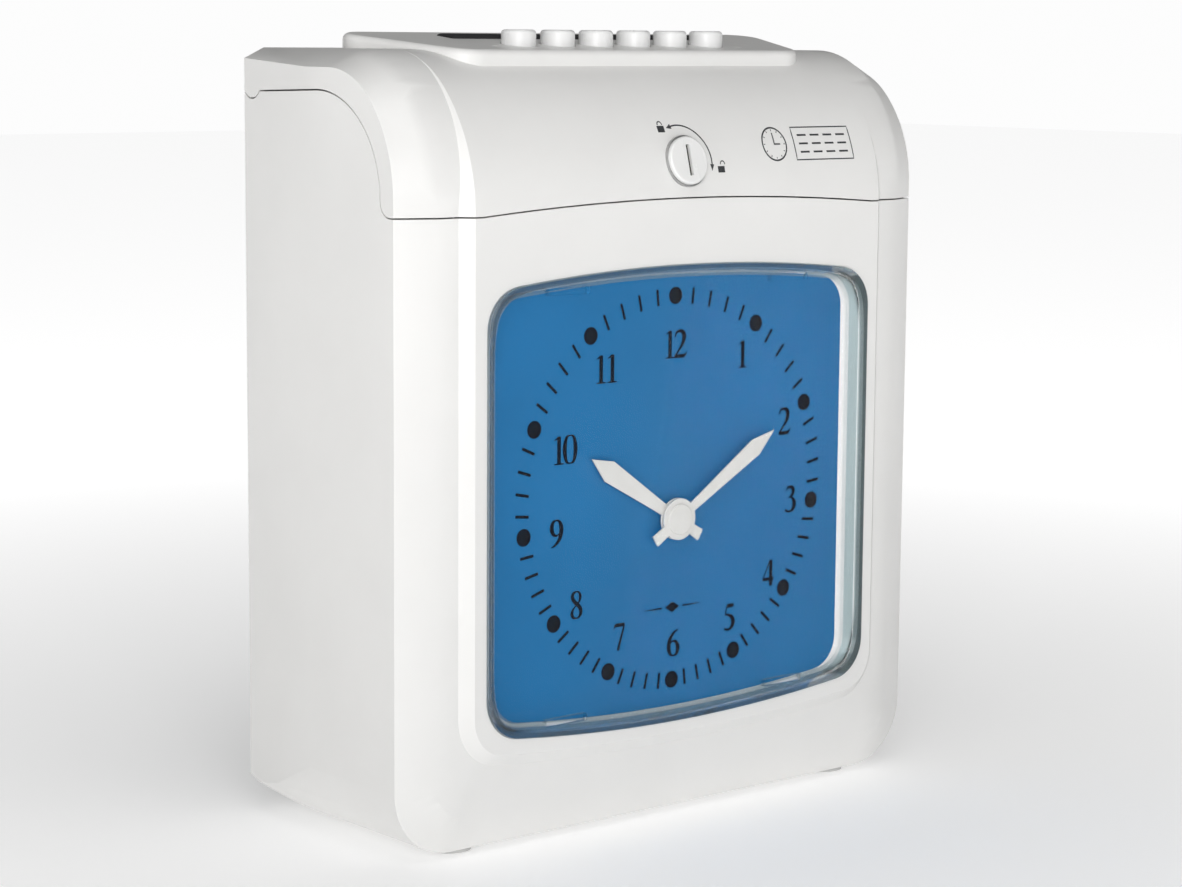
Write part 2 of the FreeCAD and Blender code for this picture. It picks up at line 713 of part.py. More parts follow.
def screen_points(half, low, high, arc, r):
    """Window outline: straight sides, gently arched top and bottom, round corners."""
    sin_a = (half - r) / (arc - r)
    cos_a = root(1 - sin_a * sin_a)
    x = arc * sin_a
    drop = arc - arc * cos_a
    corner = arc - (arc - r) * cos_a
    return [
        (-half, low + corner, r), (-x, low + drop, arc), (x, low + drop, r),
        (half, low + corner), (half, high - corner, r), (x, high - drop, arc),
        (-x, high - drop, r), (-half, high - corner),
    ]


def lid_outline(grow):
    """Side outline of the space the lid belongs to, made larger by grow."""
    g = dim(grow)
    z0 = S["split_z"]
    r = S["split_turn"]
    big = S["split_r"]
    y1 = at(S["split_start"])
    y2 = y1 + r + big
    zc = z0 + r
    back = at(S["rear_depth"] + 20)
    return [
        (at(-20), z0 - g), (y1, z0 - g, r + g), (y1 + r + g, zc, -(big - g)),
        (y2, zc + big - g), (back, S["split_top"] - S["split_fall"] - g),
        (back, z0 + 90), (at(-20), z0 + 90),
    ]


def lid_space(grow, arch_drop, name):
    """Space of the lid: the side outline, the hinge lobe, less the arched middle."""
    start, length = -130.0, 260.0
    main = prism("YZ_Plane", start, length, lid_outline(grow), name + "Side")
    lobe = cyl("X", start, at(S["hinge_depth"]), S["hinge_z"], S["lobe_r"] + grow, length)
    z0 = S["split_z"] - arch_drop
    half = S["split_half"]
    rise = S["split_rise"]
    arc = (half * half + rise * rise) / (2 * rise)
    arch = prism("XZ_Plane", at(-20), 27, [(-half, z0, -arc), (half, z0), (half, z0 - 3),
                                          (-half, z0 - 3)], name + "Arch")
    return cut(fuse(main, lobe), arch, name=name)


outer = housing(0, "OuterForm", 0)
inner = housing(S["wall"], "InnerForm", S["wall"])

# raised bezel, which carries on up the lid and fades out on the rounded edge
bez = new_body("Bezel")
sk = new_sketch(bez, "XZ_Plane", at(-S["bezel_proud"]))
bw, bz, br, ba = S["bezel_half"], S["bezel_z"], S["bezel_r"], S["bezel_arc"]
b_sin = (bw - br) / (ba - br)
b_cos = root(1 - b_sin * b_sin)
bx = ba * b_sin
b_drop = ba - ba * b_cos
b_corner = ba - (ba - br) * b_cos
outline(sk, [(-bw, S["top_z"]), (-bw, bz + b_corner, br), (-bx, bz + b_drop, ba),
             (bx, bz + b_drop, br), (bw, bz + b_corner), (bw, S["top_z"])])
pad(bez, sk, S["bezel_proud"] + S["bezel_back"], reverse=True)
sk = new_sketch(bez, "YZ_Plane")
outline(sk, brow(at(-S["bezel_proud"]), S["bezel_lean_z"], S["brow_y"] + S["bezel_proud"],
                 S["top_z"] - S["bezel_lean_z"], S["bezel_brow_r"]))
pocket_through(bez, sk)


def bezel_side(e):
    bb = e.BoundBox
    return (near(bb.XMin, bw.value) and near(bb.XMax, bw.value)
            and near(bb.YMax, at(-S["bezel_proud"]).value))


chamfer_chain(bez, S["bezel_slope"], S["bezel_proud"], bezel_side)

shell = cut(fuse(outer, bez, name="OuterSkin"), inner, name="Shell")

# window with sloped reveal
reveal = new_body("Reveal")
sk_a = new_sketch(reveal, "XZ_Plane", at(-S["bezel_proud"]))
outline(sk_a, screen_points(S["window_half"], S["window_low"], S["window_high"],
                            S["window_arc"], S["window_r"]))
sk_b = new_sketch(reveal, "XZ_Plane", at(S["wall"]))
outline(sk_b, screen_points(S["window_half"] - S["reveal_side"],
                            S["window_low"] + S["reveal_end"],
                            S["window_high"] - S["reveal_end"],
                            S["window_arc"], S["window_r"] - S["reveal_r_drop"]))
loft = reveal.newObject("PartDesign::AdditiveLoft", "Loft")
loft.Profile = sk_a
loft.Sections = [sk_b]
loft.Ruled = True
reveal.Tip = loft

# rear opening with a recess for the back plate
def sheet_outline(half, low, high):
    """Plain rectangle, half wide on each side."""
    return [(-half, low), (half, low), (half, high), (-half, high)]


def clipped(half, low, high, r):
    """Rectangle with rounded corners."""
    return [(-half, low + r, r), (-half + r, low), (half - r, low, r), (half, low + r),
            (half, high - r, r), (half - r, high), (-half + r, high, r), (-half, high - r)]


def sides(start, length=0.0):
    """Where a piece starts on the right, and where its mirror image starts on the left."""
    return dim(start), -dim(start) - length


rear_y = at(S["rear_depth"])
DRILL_Y = at(85)         # rear drills start here and run out behind the housing
DRILL = 20.0
rear_hole = prism("XZ_Plane", DRILL_Y, DRILL,
                  sheet_outline(S["rear_hole_half"], S["rear_hole_low"], S["rear_hole_high"]),
                  "RearHole")
rear_seat = prism("XZ_Plane", rear_y - S["rear_seat"], DRILL,
                  sheet_outline(S["rear_seat_half"], S["rear_seat_low"], S["rear_seat_high"]),
                  "RearSeat")

# lid hinge lugs of the case, on the inside of the rear wall
hy, hz = at(S["hinge_depth"]), S["hinge_z"]
lugs = []
for x in sides(S["lug_x"], S["lug_w"]):
    neck = box(x, hy - S["lug_r"], S["lug_low"], S["lug_w"], S["lug_t"], hz - S["lug_low"])
    lugs.append(fuse(neck, cyl("X", x, hy, hz, S["lug_r"], S["lug_w"])))
PIN_SPACE = 20.0
pins_space = [cyl("X", x, hy, hz, S["pin_r"], PIN_SPACE)
              for x in sides(S["lug_x"] - S["lug_w"], PIN_SPACE)]
case_space = lid_space(S["joint_gap"], S["joint_gap"], "CaseClear")
case_body = cut(shell, case_space, reveal, rear_hole, rear_seat)
case_body = cut(fuse(case_body, *lugs), *pins_space)

# post that carries the lock strike, and the tray that holds the backup cells
post = box(-14, at(2.0), 190.5, 28, 8.6, 4.5)
tray = box(17.6, at(15.6), 3.5, 62.6, 41.0, 12)
CELLS = [S["cell_x"] + S["cell_pitch"] * i for i in range(4)]
cells_space = [cyl("Y", x, at(17.6), S["cell_z"], S["cell_space_r"], 37) for x in CELLS]
case_body = fuse(case_body, post, cut(tray, *cells_space))

# screw holes for back plate, feet and dial
BACK_SCREWS = [(x, z) for x in sides(S["back_screw_x"]) for z in (30, 125, 222)]
FEET = [(x, S["foot_front"], S["foot_front_stud"]) for x in sides(S["foot_front_x"])]
FEET += [(x, S["foot_rear"], S["foot_rear_stud"]) for x in sides(S["foot_rear_x"])]
DIAL_SCREWS = [(x, z) for x in sides(S["dial_screw_x"]) for z in (60, 160)]
DIAL_PILOT_R = 1.25
holes = [cyl("Y", x, DRILL_Y, z, S["screw_hole"], DRILL) for x, z in BACK_SCREWS]
holes += [cyl("Z", x, at(y), -1, S["foot_hole_r"], 30) for x, y, stud in FEET]
holes += [cyl("Y", x, at(1.0), z, DIAL_PILOT_R, 3) for x, z in DIAL_SCREWS]
node(cut(case_body, *holes), "front_case")

# ---------------------------------------------------------------------- lid
lid = common(shell, lid_space(0, 0, "LidSpace"))
# two hinge ears inside the lid, next to the lugs of the case
ears = []
for x in sides(S["ear_x"], S["ear_w"]):
    web = box(x, hy - S["ear_r"], hz, S["ear_w"], S["ear_t"], S["ear_h"])
    ears.append(fuse(web, cyl("X", x, hy, hz, S["ear_r"], S["ear_w"])))
lid = fuse(lid, *ears)
EAR_BORE = 9.0
clear = [cyl("X", x, hy, hz, S["pin_r"] + S["pin_play"], EAR_BORE) for x in sides(65, EAR_BORE)]
# the rear skirt is notched where the lugs of the case pass
clear += [box(x, hy + 1, hz - 12, S["notch_w"], 8, 15) for x in sides(S["notch_x"], S["notch_w"])]
# openings below the keypad panel
WELL_Z, WELL_H = S["panel_floor"], 25.0
for depth, length in (("key_well_depth", "key_well_len"), ("card_well_depth", "card_well_len")):
    clear.append(box(-S["well_half"], at(S[depth]), WELL_Z, 2 * S["well_half"], S[length], WELL_H))
# hole of the lock, square to the leaning face
ly, lz = at(S["lock_depth"]), S["lock_z"]
lock_at = V(0, ly.value, lz.value)


def on_lock(obj):
    """Lay a piece built along +Y square to the leaning lid face."""
    return tilted(obj, V(1, 0, 0), -S["lock_tilt"].value, lock_at)


clear.append(on_lock(group(cyl("Y", 0, ly - 12, lz, S["lock_hole_r"], 30))))
node(cut(lid, *clear), "top_cover")

# ------------------------------------------------------------- keypad panel
pf, ps, pw, pr = (at(S[a]) for a in ("panel_front", "panel_shoulder", "panel_wide", "panel_rear"))
wf, ws, ww, wr = (S[a] for a in ("panel_front_half", "panel_shoulder_half", "panel_half",
                                 "panel_rear_half"))
front_r, rear_r = S["panel_front_r"], S["panel_rear_r"]
plan = [(-wf, pf), (wf, pf, front_r), (ws, ps), (ww, pw, rear_r), (wr, pr), (-wr, pr, rear_r),
        (-ww, pw), (-ws, ps, front_r)]
floor_z = S["panel_floor"]
rise = [(at(15), floor_z), (at(90), floor_z), (at(90), S["panel_high_top"]),
        (at(20), S["panel_low_top"]), (at(15), S["panel_low_top"] - 0.6)]
panel = common(prism("XY_Plane", floor_z, 25, plan, "PanelPlan"),
               prism("YZ_Plane", -100, 200, rise, "PanelSlope"))
panel = cut(panel, fuse(outer, bez))


def panel_rim(e):
    """Edges round the top of the panel, which climbs 0.1067 per unit of depth."""
    m = e.valueAt((e.FirstParameter + e.LastParameter) / 2)
    depth = m.y - S["front_y"].value
    return m.z > 255.2 + 0.1067 * (depth - 20.0)


panel = rounded(panel, S["panel_rim_r"].value, panel_rim)
key_y = at(S["key_depth"])
KEYS = [(i - 2.5) * S["key_pitch"] for i in range(6)]
throat_half = S["throat_half"] + S["throat_gap"]
holes = [cyl("Z", x, key_y, floor_z, S["key_r"] + S["key_gap"], 30) for x in KEYS]
holes.append(box(-throat_half, at(S["throat_depth"] - S["throat_gap"]), floor_z, 2 * throat_half,
                 S["throat_len"] + 2 * S["throat_gap"], 40))
panel = cut(panel, *holes)
# two pegs reach down through the openings of the lid and hold the key board
pegs = []
for x in sides(S["peg_x"]):
    pegs.append(fuse(cyl("Z", x, at(S["peg_depth"]), 243.4, S["peg_r"], 13),
                     cyl("Z", x, at(S["peg_depth"]), 246.0, 2.6, 11),
                     cyl("Z", x, at(S["peg_depth"]), 242.9, 2.4, 1.5)))
node(fuse(panel, *pegs), "keypad_panel")

# card throat: dark collar with a flared mouth
throat_top = S["throat_top"]
throat = box(-S["throat_half"], at(S["throat_depth"]), S["throat_low"], 2 * S["throat_half"],
             S["throat_len"], throat_top - S["throat_low"])
throat = rounded(throat, S["throat_edge_r"].value,
                 lambda e: near(e.BoundBox.ZMin, throat_top.value)
                 and near(e.BoundBox.ZMax, throat_top.value))
cy = at(S["slot_depth"])
sh, sg = S["slot_half"], S["slot_gap"] / 2


def across_slot(half, reach):
    """Rectangle about the card path, in plan."""
    return [(-half, cy - reach), (half, cy - reach), (half, cy + reach), (-half, cy + reach)]


mouth = new_body("Mouth")
sk_a = new_sketch(mouth, "XY_Plane", throat_top + 0.1)
outline(sk_a, across_slot(S["mouth_half"], S["mouth_reach"]))
sk_b = new_sketch(mouth, "XY_Plane", S["mouth_low"])
outline(sk_b, across_slot(sh, sg))
loft = mouth.newObject("PartDesign::AdditiveLoft", "Loft")
loft.Profile = sk_a
loft.Sections = [sk_b]
loft.Ruled = True
mouth.Tip = loft
straight = box(-sh, cy - sg, floor_z, 2 * sh, 2 * sg, 10)
node(cut(throat, mouth, straight), "card_throat")

# keys: round caps with a short stem above a push switch
for i, x in enumerate(KEYS, 1):
    cap = cyl("Z", x, key_y, S["key_base"], S["key_r"], S["key_top"] - S["key_base"])
    cap = rounded(cap, S["key_edge_r"].value, lambda e: near(e.BoundBox.ZMin, S["key_top"].value))
    stem = cyl("Z", x, key_y, S["key_stem_base"], S["key_stem_r"], 3)
    node(fuse(cap, stem), f"key_{i}")

# key circuit board with one push switch below each key
board = box(-S["key_board_half"], at(S["key_board_depth"]), S["key_board_z"],
            2 * S["key_board_half"], S["key_board_len"], S["board_t"])
bores = [cyl("Z", x, at(S["peg_depth"]), floor_z, S["peg_r"], 9) for x in sides(S["peg_x"])]
node(cut(board, *bores), "key_board")
switches = []
switch_z = S["key_board_z"] + S["board_t"]
for x in KEYS:
    base = box(x - S["switch_w"] / 2, key_y - S["switch_w"] / 2, switch_z,
               S["switch_w"], S["switch_w"], S["switch_h"])
    switches.append(fuse(base, cyl("Z", x, key_y, switch_z + 2, S["switch_r"], 2.1)))
node(group(*switches), "key_switches")

# --------------------------------------------------------------------- lock
sleeve = fuse(cyl("Y", 0, ly + 6.6, lz, S["sleeve_nut_r"], S["sleeve_nut_t"]),
              cyl("Y", 0, ly + 0.3, lz, S["sleeve_r"], S["sleeve_len"]))
node(on_lock(cut(sleeve, cyl("Y", 0, ly - 1, lz, S["sleeve_bore"], 24))), "lock_sleeve")
face_y = ly - S["lock_face_out"]
face = cyl("Y", 0, face_y, lz, S["lock_r"], S["lock_face_t"])
face = rounded(face, S["lock_edge_r"].value, lambda e: near(e.BoundBox.YMin, face_y.value))
plug = fuse(face, cyl("Y", 0, ly - 1, lz, S["plug_r"], S["plug_len"]))
keyway = box(-S["keyway_w"] / 2, ly - 4, lz - S["keyway_h"] / 2, S["keyway_w"], 11, S["keyway_h"])
node(on_lock(cut(plug, keyway)), "lock_barrel")
cam_y, cam_t = ly + 19.4, dim(1.6)
cam = fuse(cyl("Y", 0, cam_y, lz, S["cam_r"], cam_t),
           box(0, cam_y, lz - S["cam_w"] / 2, S["cam_len"], cam_t, S["cam_w"]))
node(on_lock(cam), "lock_cam")
foot_plate = box(-S["strike_half"], at(2.8), S["strike_z"], 2 * S["strike_half"], 8, S["strike_t"])
catch = box(-S["strike_half"], at(9.4), S["strike_z"], 2 * S["strike_half"], S["strike_t"], 8.2)
node(fuse(foot_plate, catch), "lock_strike")

# --------------------------------------------------------------- hinge pins
node(group(*[cyl("X", x, hy, hz, S["pin_r"], S["pin_len"])
             for x in sides(S["pin_x"], S["pin_len"])]), "hinge_pins")


# -------------------------------------------------------------- window lens
def lens_form(gap, front, rear, name):
    """Solid lens shape, smaller all round by gap, between two depths."""
    b = new_body(name)
    low, high = S["window_low"], S["window_high"]
    sk_a = new_sketch(b, "XZ_Plane", at(front))
    outline(sk_a, screen_points(S["window_half"] - gap, low + gap, high - gap,
                                S["window_arc"], S["window_r"] - gap))
    sk_b = new_sketch(b, "XZ_Plane", at(rear))
    outline(sk_b, screen_points(S["window_half"] - gap - S["lens_sink_x"],
                                low + gap + S["lens_sink_z"], high - gap - S["lens_sink_z"],
                                S["window_arc"], S["window_r"] - gap - S["lens_sink_r"]))
    loft = b.newObject("PartDesign::AdditiveLoft", "Loft")
    loft.Profile = sk_a
    loft.Sections = [sk_b]
    loft.Ruled = True
    b.Tip = loft
    return b


lens = cut(lens_form(S["lens_gap"], S["lens_front"], S["lens_rear"], "LensOuter"),
           lens_form(S["lens_gap"] + S["lens_wall"], S["lens_front"] + S["lens_t"],
                     S["lens_rear"] + 0.1, "LensInner"))
clips = []
for x in (S["clip_left"], S["clip_right"]):
    for z in (S["window_low"] + S["clip_edge"], S["window_high"] - S["clip_edge"] - S["clip_h"]):
        clips.append(box(x, at(-2.3), z, S["clip_w"], 2.2, S["clip_h"]))
node(fuse(lens, *clips), "window_lens")

# --------------------------------------------------------------------- dial
dial_y = at(S["wall"] + 0.05)
dz = S["dial_z"]
plate = prism("XZ_Plane", dial_y, S["dial_t"],
              clipped(S["dial_half"], S["dial_low"], S["dial_high"], S["plate_corner"]),
              "DialPlate")
bores = [cyl("Y", 0, at(0), dz, S["dial_bore"], 10)]
bores += [cyl("Y", x, at(0), z, S["screw_hole"], 10) for x, z in DIAL_SCREWS]
node(cut(plate, *bores), "dial_plate")
node(group(*[fuse(cyl("Y", x, dial_y + S["dial_t"], z, 2.6, 1.5),
                  cyl("Y", x, dial_y - 1.5, z, 1.2, 3.5)) for x, z in DIAL_SCREWS]),
     "dial_screws")

move_y = dial_y + S["dial_t"] + 0.1
half = S["movement"] / 2
case = box(-half, move_y, dz - half, 2 * half, S["movement_t"], 2 * half)
case = rounded(case, 2.0, lambda e: near(e.BoundBox.YLength, S["movement_t"].value))
bush = fuse(cyl("Y", 0, at(1.25), dz, S["bush_r"], 4), cyl("Y", 0, at(4), dz, S["bush_r"], 3))
bay = S["cell_bay_half"]
battery_bay = box(-bay, move_y + 12, dz - bay, 2 * bay, 4, 16)
tunnel = cyl("Y", 0, at(0), dz, S["bush_bore"], 9)
node(cut(fuse(case, bush), battery_bay, tunnel), "clock_movement")
hexagon = [(S["nut_r"] * math.cos(math.radians(a)), dz + S["nut_r"] * math.sin(math.radians(a)))
           for a in range(0, 360, 60)]
nut = prism("XZ_Plane", at(1.35), S["nut_t"], hexagon, "Nut")
node(cut(nut, cyl("Y", 0, at(0), dz, S["bush_r"] + 0.02, 4)), "movement_nut")


def hand(y, length, width, tail, bore, angle, name, collet=None):
    """Leaf shaped hand pointing up, turned clockwise by angle."""
    w = width / 2
    blade = prism("XZ_Plane", y, S["hand_t"],
                  [(-w * 0.42, dz), (w * 0.42, dz), (w, dz + length * 0.8), (0, dz + length),
                   (-w, dz + length * 0.8)], name + "Blade")
    neck, end = S["tail_neck"], S["tail_end"]
    stub = prism("XZ_Plane", y, S["hand_t"],
                 [(-neck, dz), (-end, dz - tail), (end, dz - tail), (neck, dz)], name + "Tail")
    hub = cyl("Y", 0, y, dz, S["hub_r"], S["hand_t"])
    solid = [blade, stub, hub] + ([collet] if collet else [])
    h = cut(fuse(*solid), cyl("Y", 0, y - 1, dz, bore, 12))
    h = tilted(h, V(0, 1, 0), angle.value, V(0, 0, dz.value))
    return node(h, name)


hour_y, minute_y = at(S["hour_depth"]), at(S["minute_depth"])
collet = cyl("Y", 0, hour_y, dz, S["collet_r"], 6)
hand(hour_y, S["hour_len"], S["hour_w"], S["tail_len"], S["hour_bore"], S["hour_angle"],
     "hour_hand", collet)
hand(minute_y, S["minute_len"], S["minute_w"], S["tail_len"], S["arbor_r"], S["minute_angle"],
     "minute_hand")
cap_y = at(S["hub_cap_depth"])
hub_cap = rounded(cyl("Y", 0, cap_y, dz, S["hub_cap_r"], S["hub_cap_t"]), 0.4,
                  lambda e: near(e.BoundBox.YMax, cap_y.value))
node(fuse(hub_cap, cyl("Y", 0, at(-1.0), dz, S["arbor_r"], S["arbor_len"])), "minute_arbor")

# --------------------------------------------------------- feet and rear panel
node(group(*[fuse(cut(cyl("Z", x, at(y), 0, S["foot_r"], S["foot_h"]), outer),
                  cyl("Z", x, at(y), 1, S["foot_stud_r"], stud)) for x, y, stud in FEET]), "feet")

gap = S["plate_gap"]
plate = prism("XZ_Plane", rear_y - S["plate_t"], S["plate_t"],
              clipped(S["rear_seat_half"] - gap, S["rear_seat_low"] + gap,
                      S["rear_seat_high"] - gap, S["plate_corner"]), "RearPlate")
bores = [cyl("Y", x, DRILL_Y, z, S["screw_hole"], DRILL) for x, z in BACK_SCREWS]
entry_z, slot_r = S["keyhole_z"], S["keyhole_slot_r"]
for x in sides(S["keyhole_x"]):
    bores.append(cyl("Y", x, DRILL_Y, entry_z, S["keyhole_r"], DRILL))
    bores.append(box(x - slot_r, DRILL_Y, entry_z, 2 * slot_r, DRILL, S["keyhole_rise"]))
    bores.append(cyl("Y", x, DRILL_Y, entry_z + S["keyhole_rise"], slot_r, DRILL))
for i in range(9):
    bores.append(box(-S["vent_half"], DRILL_Y, S["vent_z"] + S["vent_pitch"] * i,
                     2 * S["vent_half"], DRILL, S["vent_h"]))
# openings for the power inlet and the bell terminals
bores += [box(46, DRILL_Y, 24.8, 26, DRILL, 17), box(-74, DRILL_Y, 24.6, 32, DRILL, 14.8)]
FRAME_POSTS = [(x, z) for x in sides(S["frame_post_x"]) for z in (84, 214)]
BOARD_POSTS = [(x, z) for x in sides(S["board_post_x"]) for z in (58, 160)]
bores += [cyl("Y", x, DRILL_Y, z, S["screw_hole"], DRILL) for x, z in FRAME_POSTS + BOARD_POSTS]
node(cut(plate, *bores), "back_plate")


def screw(x, y, z, head_r, head_t, start, length):
    """Screw with its head face at y; the shank starts at start."""
    return fuse(cyl("Y", x, y, z, head_r, head_t), cyl("Y", x, start, z, S["screw_r"], length))


heads = [screw(x, rear_y, z, 2.9, 1.6, rear_y - 8, 9) for x, z in BACK_SCREWS]
heads += [screw(x, rear_y, z, 2.6, 1.4, rear_y - 6, 7) for x, z in FRAME_POSTS + BOARD_POSTS]
node(group(*heads), "rear_screws")
node(group(*[cut(cyl("Y", x, rear_y, z, S["pad_r"], S["pad_t"]),
                 cyl("Y", x, rear_y - 1, z, S["pad_bore"], 8))
             for x in sides(S["pad_x"]) for z in (36, 216)]), "wall_pads")

# ------------------------------------------------------------ mechanism frame
frame_y, frame_t = at(S["frame_depth"]), S["frame_t"]
web = box(-S["frame_half"], frame_y, S["frame_low"], 2 * S["frame_half"], frame_t, S["frame_h"])
cheeks = [box(x, at(S["cheek_depth"]), S["cheek_low"], frame_t, S["cheek_len"], S["cheek_h"])
          for x in sides(S["frame_half"] - frame_t, frame_t)]
tie = box(-S["frame_half"] + 1, at(S["tie_depth"]), S["tie_z"], 2 * S["frame_half"] - 2, frame_t,
          S["tie_h"])
frame = fuse(web, tie, *cheeks)
DRIVE = (at(S["drive_depth"]), S["feed_z"])
IDLE = (at(S["idler_depth"]), S["feed_z"])
MOTOR = (at(S["motor_depth"]), S["motor_z"])
RODS = [(at(S["rod_front"]), S["rod_z"], S["rod_front_r"]),
        (at(S["rod_rear"]), S["rod_z"], S["rod_rear_r"])]
belt_x, belt_z = S["belt_x"], S["belt_z"]
THROUGH_X, THROUGH = -90.0, 180.0
holes = [cyl("X", THROUGH_X, *DRIVE, S["drive_r"] + S["shaft_play"], THROUGH),
         cyl("X", THROUGH_X, *IDLE, S["idler_r"] + S["shaft_play"], THROUGH),
         cyl("X", 60, *MOTOR, 6.0, 30)]
holes += [cyl("X", THROUGH_X, y, z, r, THROUGH) for y, z, r in RODS]
holes += [cyl("Y", x, at(60), z, S["screw_hole"], 20) for x, z in FRAME_POSTS]
holes += [cyl("Y", -belt_x, at(20), belt_z, 3.5, 20), cyl("Y", belt_x, at(20), belt_z, 1.52, 20)]
holes.append(box(-34, frame_y - 5, 140, 68, 9, 20))
idler_pin = fuse(cyl("Y", belt_x, at(27.4), belt_z, 1.5, 15.4),
                 cyl("Y", belt_x, at(27.2), belt_z, 2.8, 1.5))
node(fuse(cut(frame, *holes), idler_pin), "mechanism_frame")
POST_END = 83.6          # front face of the main board's posts, from the front face
posts = [cut(cyl("Y", x, frame_y + frame_t, z, S["frame_post_r"],
                 rear_y - frame_y - frame_t - S["plate_t"]),
             cyl("Y", x, frame_y, z, S["screw_hole"], 40)) for x, z in FRAME_POSTS]
posts += [cut(cyl("Y", x, at(POST_END), z, S["board_post_r"],
                  rear_y - at(POST_END) - S["plate_t"]),
              cyl("Y", x, at(80), z, S["screw_hole"], 20)) for x, z in BOARD_POSTS]
node(group(*posts), "standoffs")
screws = [screw(x, frame_y - 1.5, z, 2.8, 1.5, frame_y - 1, 8) for x, z in FRAME_POSTS]
screws += [screw(x, at(80.6), z, 2.8, 1.4, at(81), 7) for x, z in BOARD_POSTS]
node(group(*screws), "mechanism_screws")

# ---------------------------------------------------------------- card guide
g0, g1 = cy - sg, cy + sg
guide_w, guide_t, low, tall = 2 * S["guide_half"], S["guide_t"], S["guide_low"], S["guide_len"]
print_w, roller_w = 2 * S["print_half"], S["roller_window_w"]
ROLLER_WINDOWS = (-30, 14)
TABS = (-40, 32)
front_guide = box(-S["guide_half"], g0 - guide_t, low, guide_w, guide_t, tall)
windows = [box(x, g0 - 5, 140, roller_w, 10, 20) for x in ROLLER_WINDOWS]
windows.append(box(-S["print_half"], g0 - 5, 203, print_w, 10, 19))
node(cut(front_guide, *windows), "card_guide_front")
rear_guide = box(-S["guide_half"], g1, low, guide_w, guide_t, tall)
rails = [box(x, g0, low, S["rail_w"], S["slot_gap"], tall)
         for x in sides(S["guide_half"] - S["rail_w"], S["rail_w"])]
stop = box(-46, g0, low, 92, S["slot_gap"], 2)
notches = [box(x, g0 - 1, 204, 6, 3.7, 17) for x in sides(45, 6)]
tab_len = frame_y - g1 - 1.4
tabs = [box(x, g1 + 1.4, z, 8, tab_len, 10) for z in (176, 90) for x in TABS]
windows = [box(x, g1 - 1, 141, roller_w, 10, 18) for x in ROLLER_WINDOWS]
windows.append(box(-S["print_half"], g1 - 1, 206, print_w, 10, 12))
node(cut(fuse(rear_guide, stop, *rails, *tabs), *windows, *notches), "card_guide_rear")
platen_y = g1 + 0.2
platen = box(-S["platen_half"], platen_y, S["platen_z"], 2 * S["platen_half"],
             frame_y - platen_y, S["platen_h"])
node(rounded(platen, 1.0, lambda e: near(e.BoundBox.YMin, platen_y.value)
             and near(e.BoundBox.YMax, platen_y.value)), "platen")

# ---------------------------------------------------------------- card feed
ROLLERS = (S["roller_left"], S["roller_right"])
node(cyl("X", S["shaft_x"], *DRIVE, S["drive_r"], S["drive_len"]), "drive_shaft")
node(group(*[cut(cyl("X", x, *DRIVE, S["roller_r"], S["roller_w"]),
                 cyl("X", x - 1, *DRIVE, S["drive_r"], S["roller_w"] + 2))
             for x in ROLLERS]), "drive_rollers")
node(fuse(cyl("X", S["shaft_x"], *IDLE, S["idler_r"], S["shaft_len"]),
          *[cyl("X", x, *IDLE, S["idler_roller_r"], S["roller_w"]) for x in ROLLERS]),
     "idler_roller")


def spur(place_at, teeth, r, bore, turn, name):
    """Spur gear on an axis along +X: a disc with a polar pattern of teeth."""
    b = new_body(name)
    sk = new_sketch(b, "YZ_Plane")
    ring(sk, 0, 0, r - S["tooth_root"])
    ring(sk, 0, 0, bore)
    pad(b, sk, S["gear_w"])
    doc.recompute()
    inside, tip = r - S["tooth_sink"], r + S["tooth_tip"]
    foot, end = S["tooth_foot"], S["tooth_end"]
    sk = new_sketch(b, "YZ_Plane")
    outline(sk, [(inside, -foot), (tip, -end), (tip, end), (inside, foot)])
    tooth = pad(b, sk, S["gear_w"])
    doc.recompute()
    rows = b.newObject("PartDesign::PolarPattern", "Teeth")
    rows.Originals = [tooth]
    rows.Axis = ([o for o in b.Origin.OriginFeatures if o.Role == "X_Axis"][0], [""])
    rows.Angle = 360
    rows.Occurrences = teeth
    b.Tip = rows
    b.Placement = FreeCAD.Placement(V(0, 0, 0), FreeCAD.Rotation(V(1, 0, 0), turn))
    place(b, S["gear_x"], *place_at)
    return b


GEAR_TEETH, PINION_TEETH = 30, 8
mesh = math.degrees(math.atan2((MOTOR[1] - DRIVE[1]).value, (MOTOR[0] - DRIVE[0]).value))
node(spur(DRIVE, GEAR_TEETH, S["gear_r"], S["drive_r"], mesh, "FeedGear"), "feed_gear")
# the pinion meets the gear half a tooth round
pinion = spur(MOTOR, PINION_TEETH, S["pinion_r"], 1.0, mesh + 180 + 180 / PINION_TEETH,
              "FeedPinion")
node(fuse(pinion, cyl("X", 61, *MOTOR, S["motor_shaft_r"], 24.5)), "feed_pinion")
can = cyl("X", S["motor_x"], *MOTOR, S["motor_r"], S["motor_len"])
boss = cyl("X", 76.5, *MOTOR, S["motor_boss_r"], 1.5)
node(cut(fuse(can, boss), cyl("X", 60, *MOTOR, S["motor_bore"], 30)), "feed_motor")

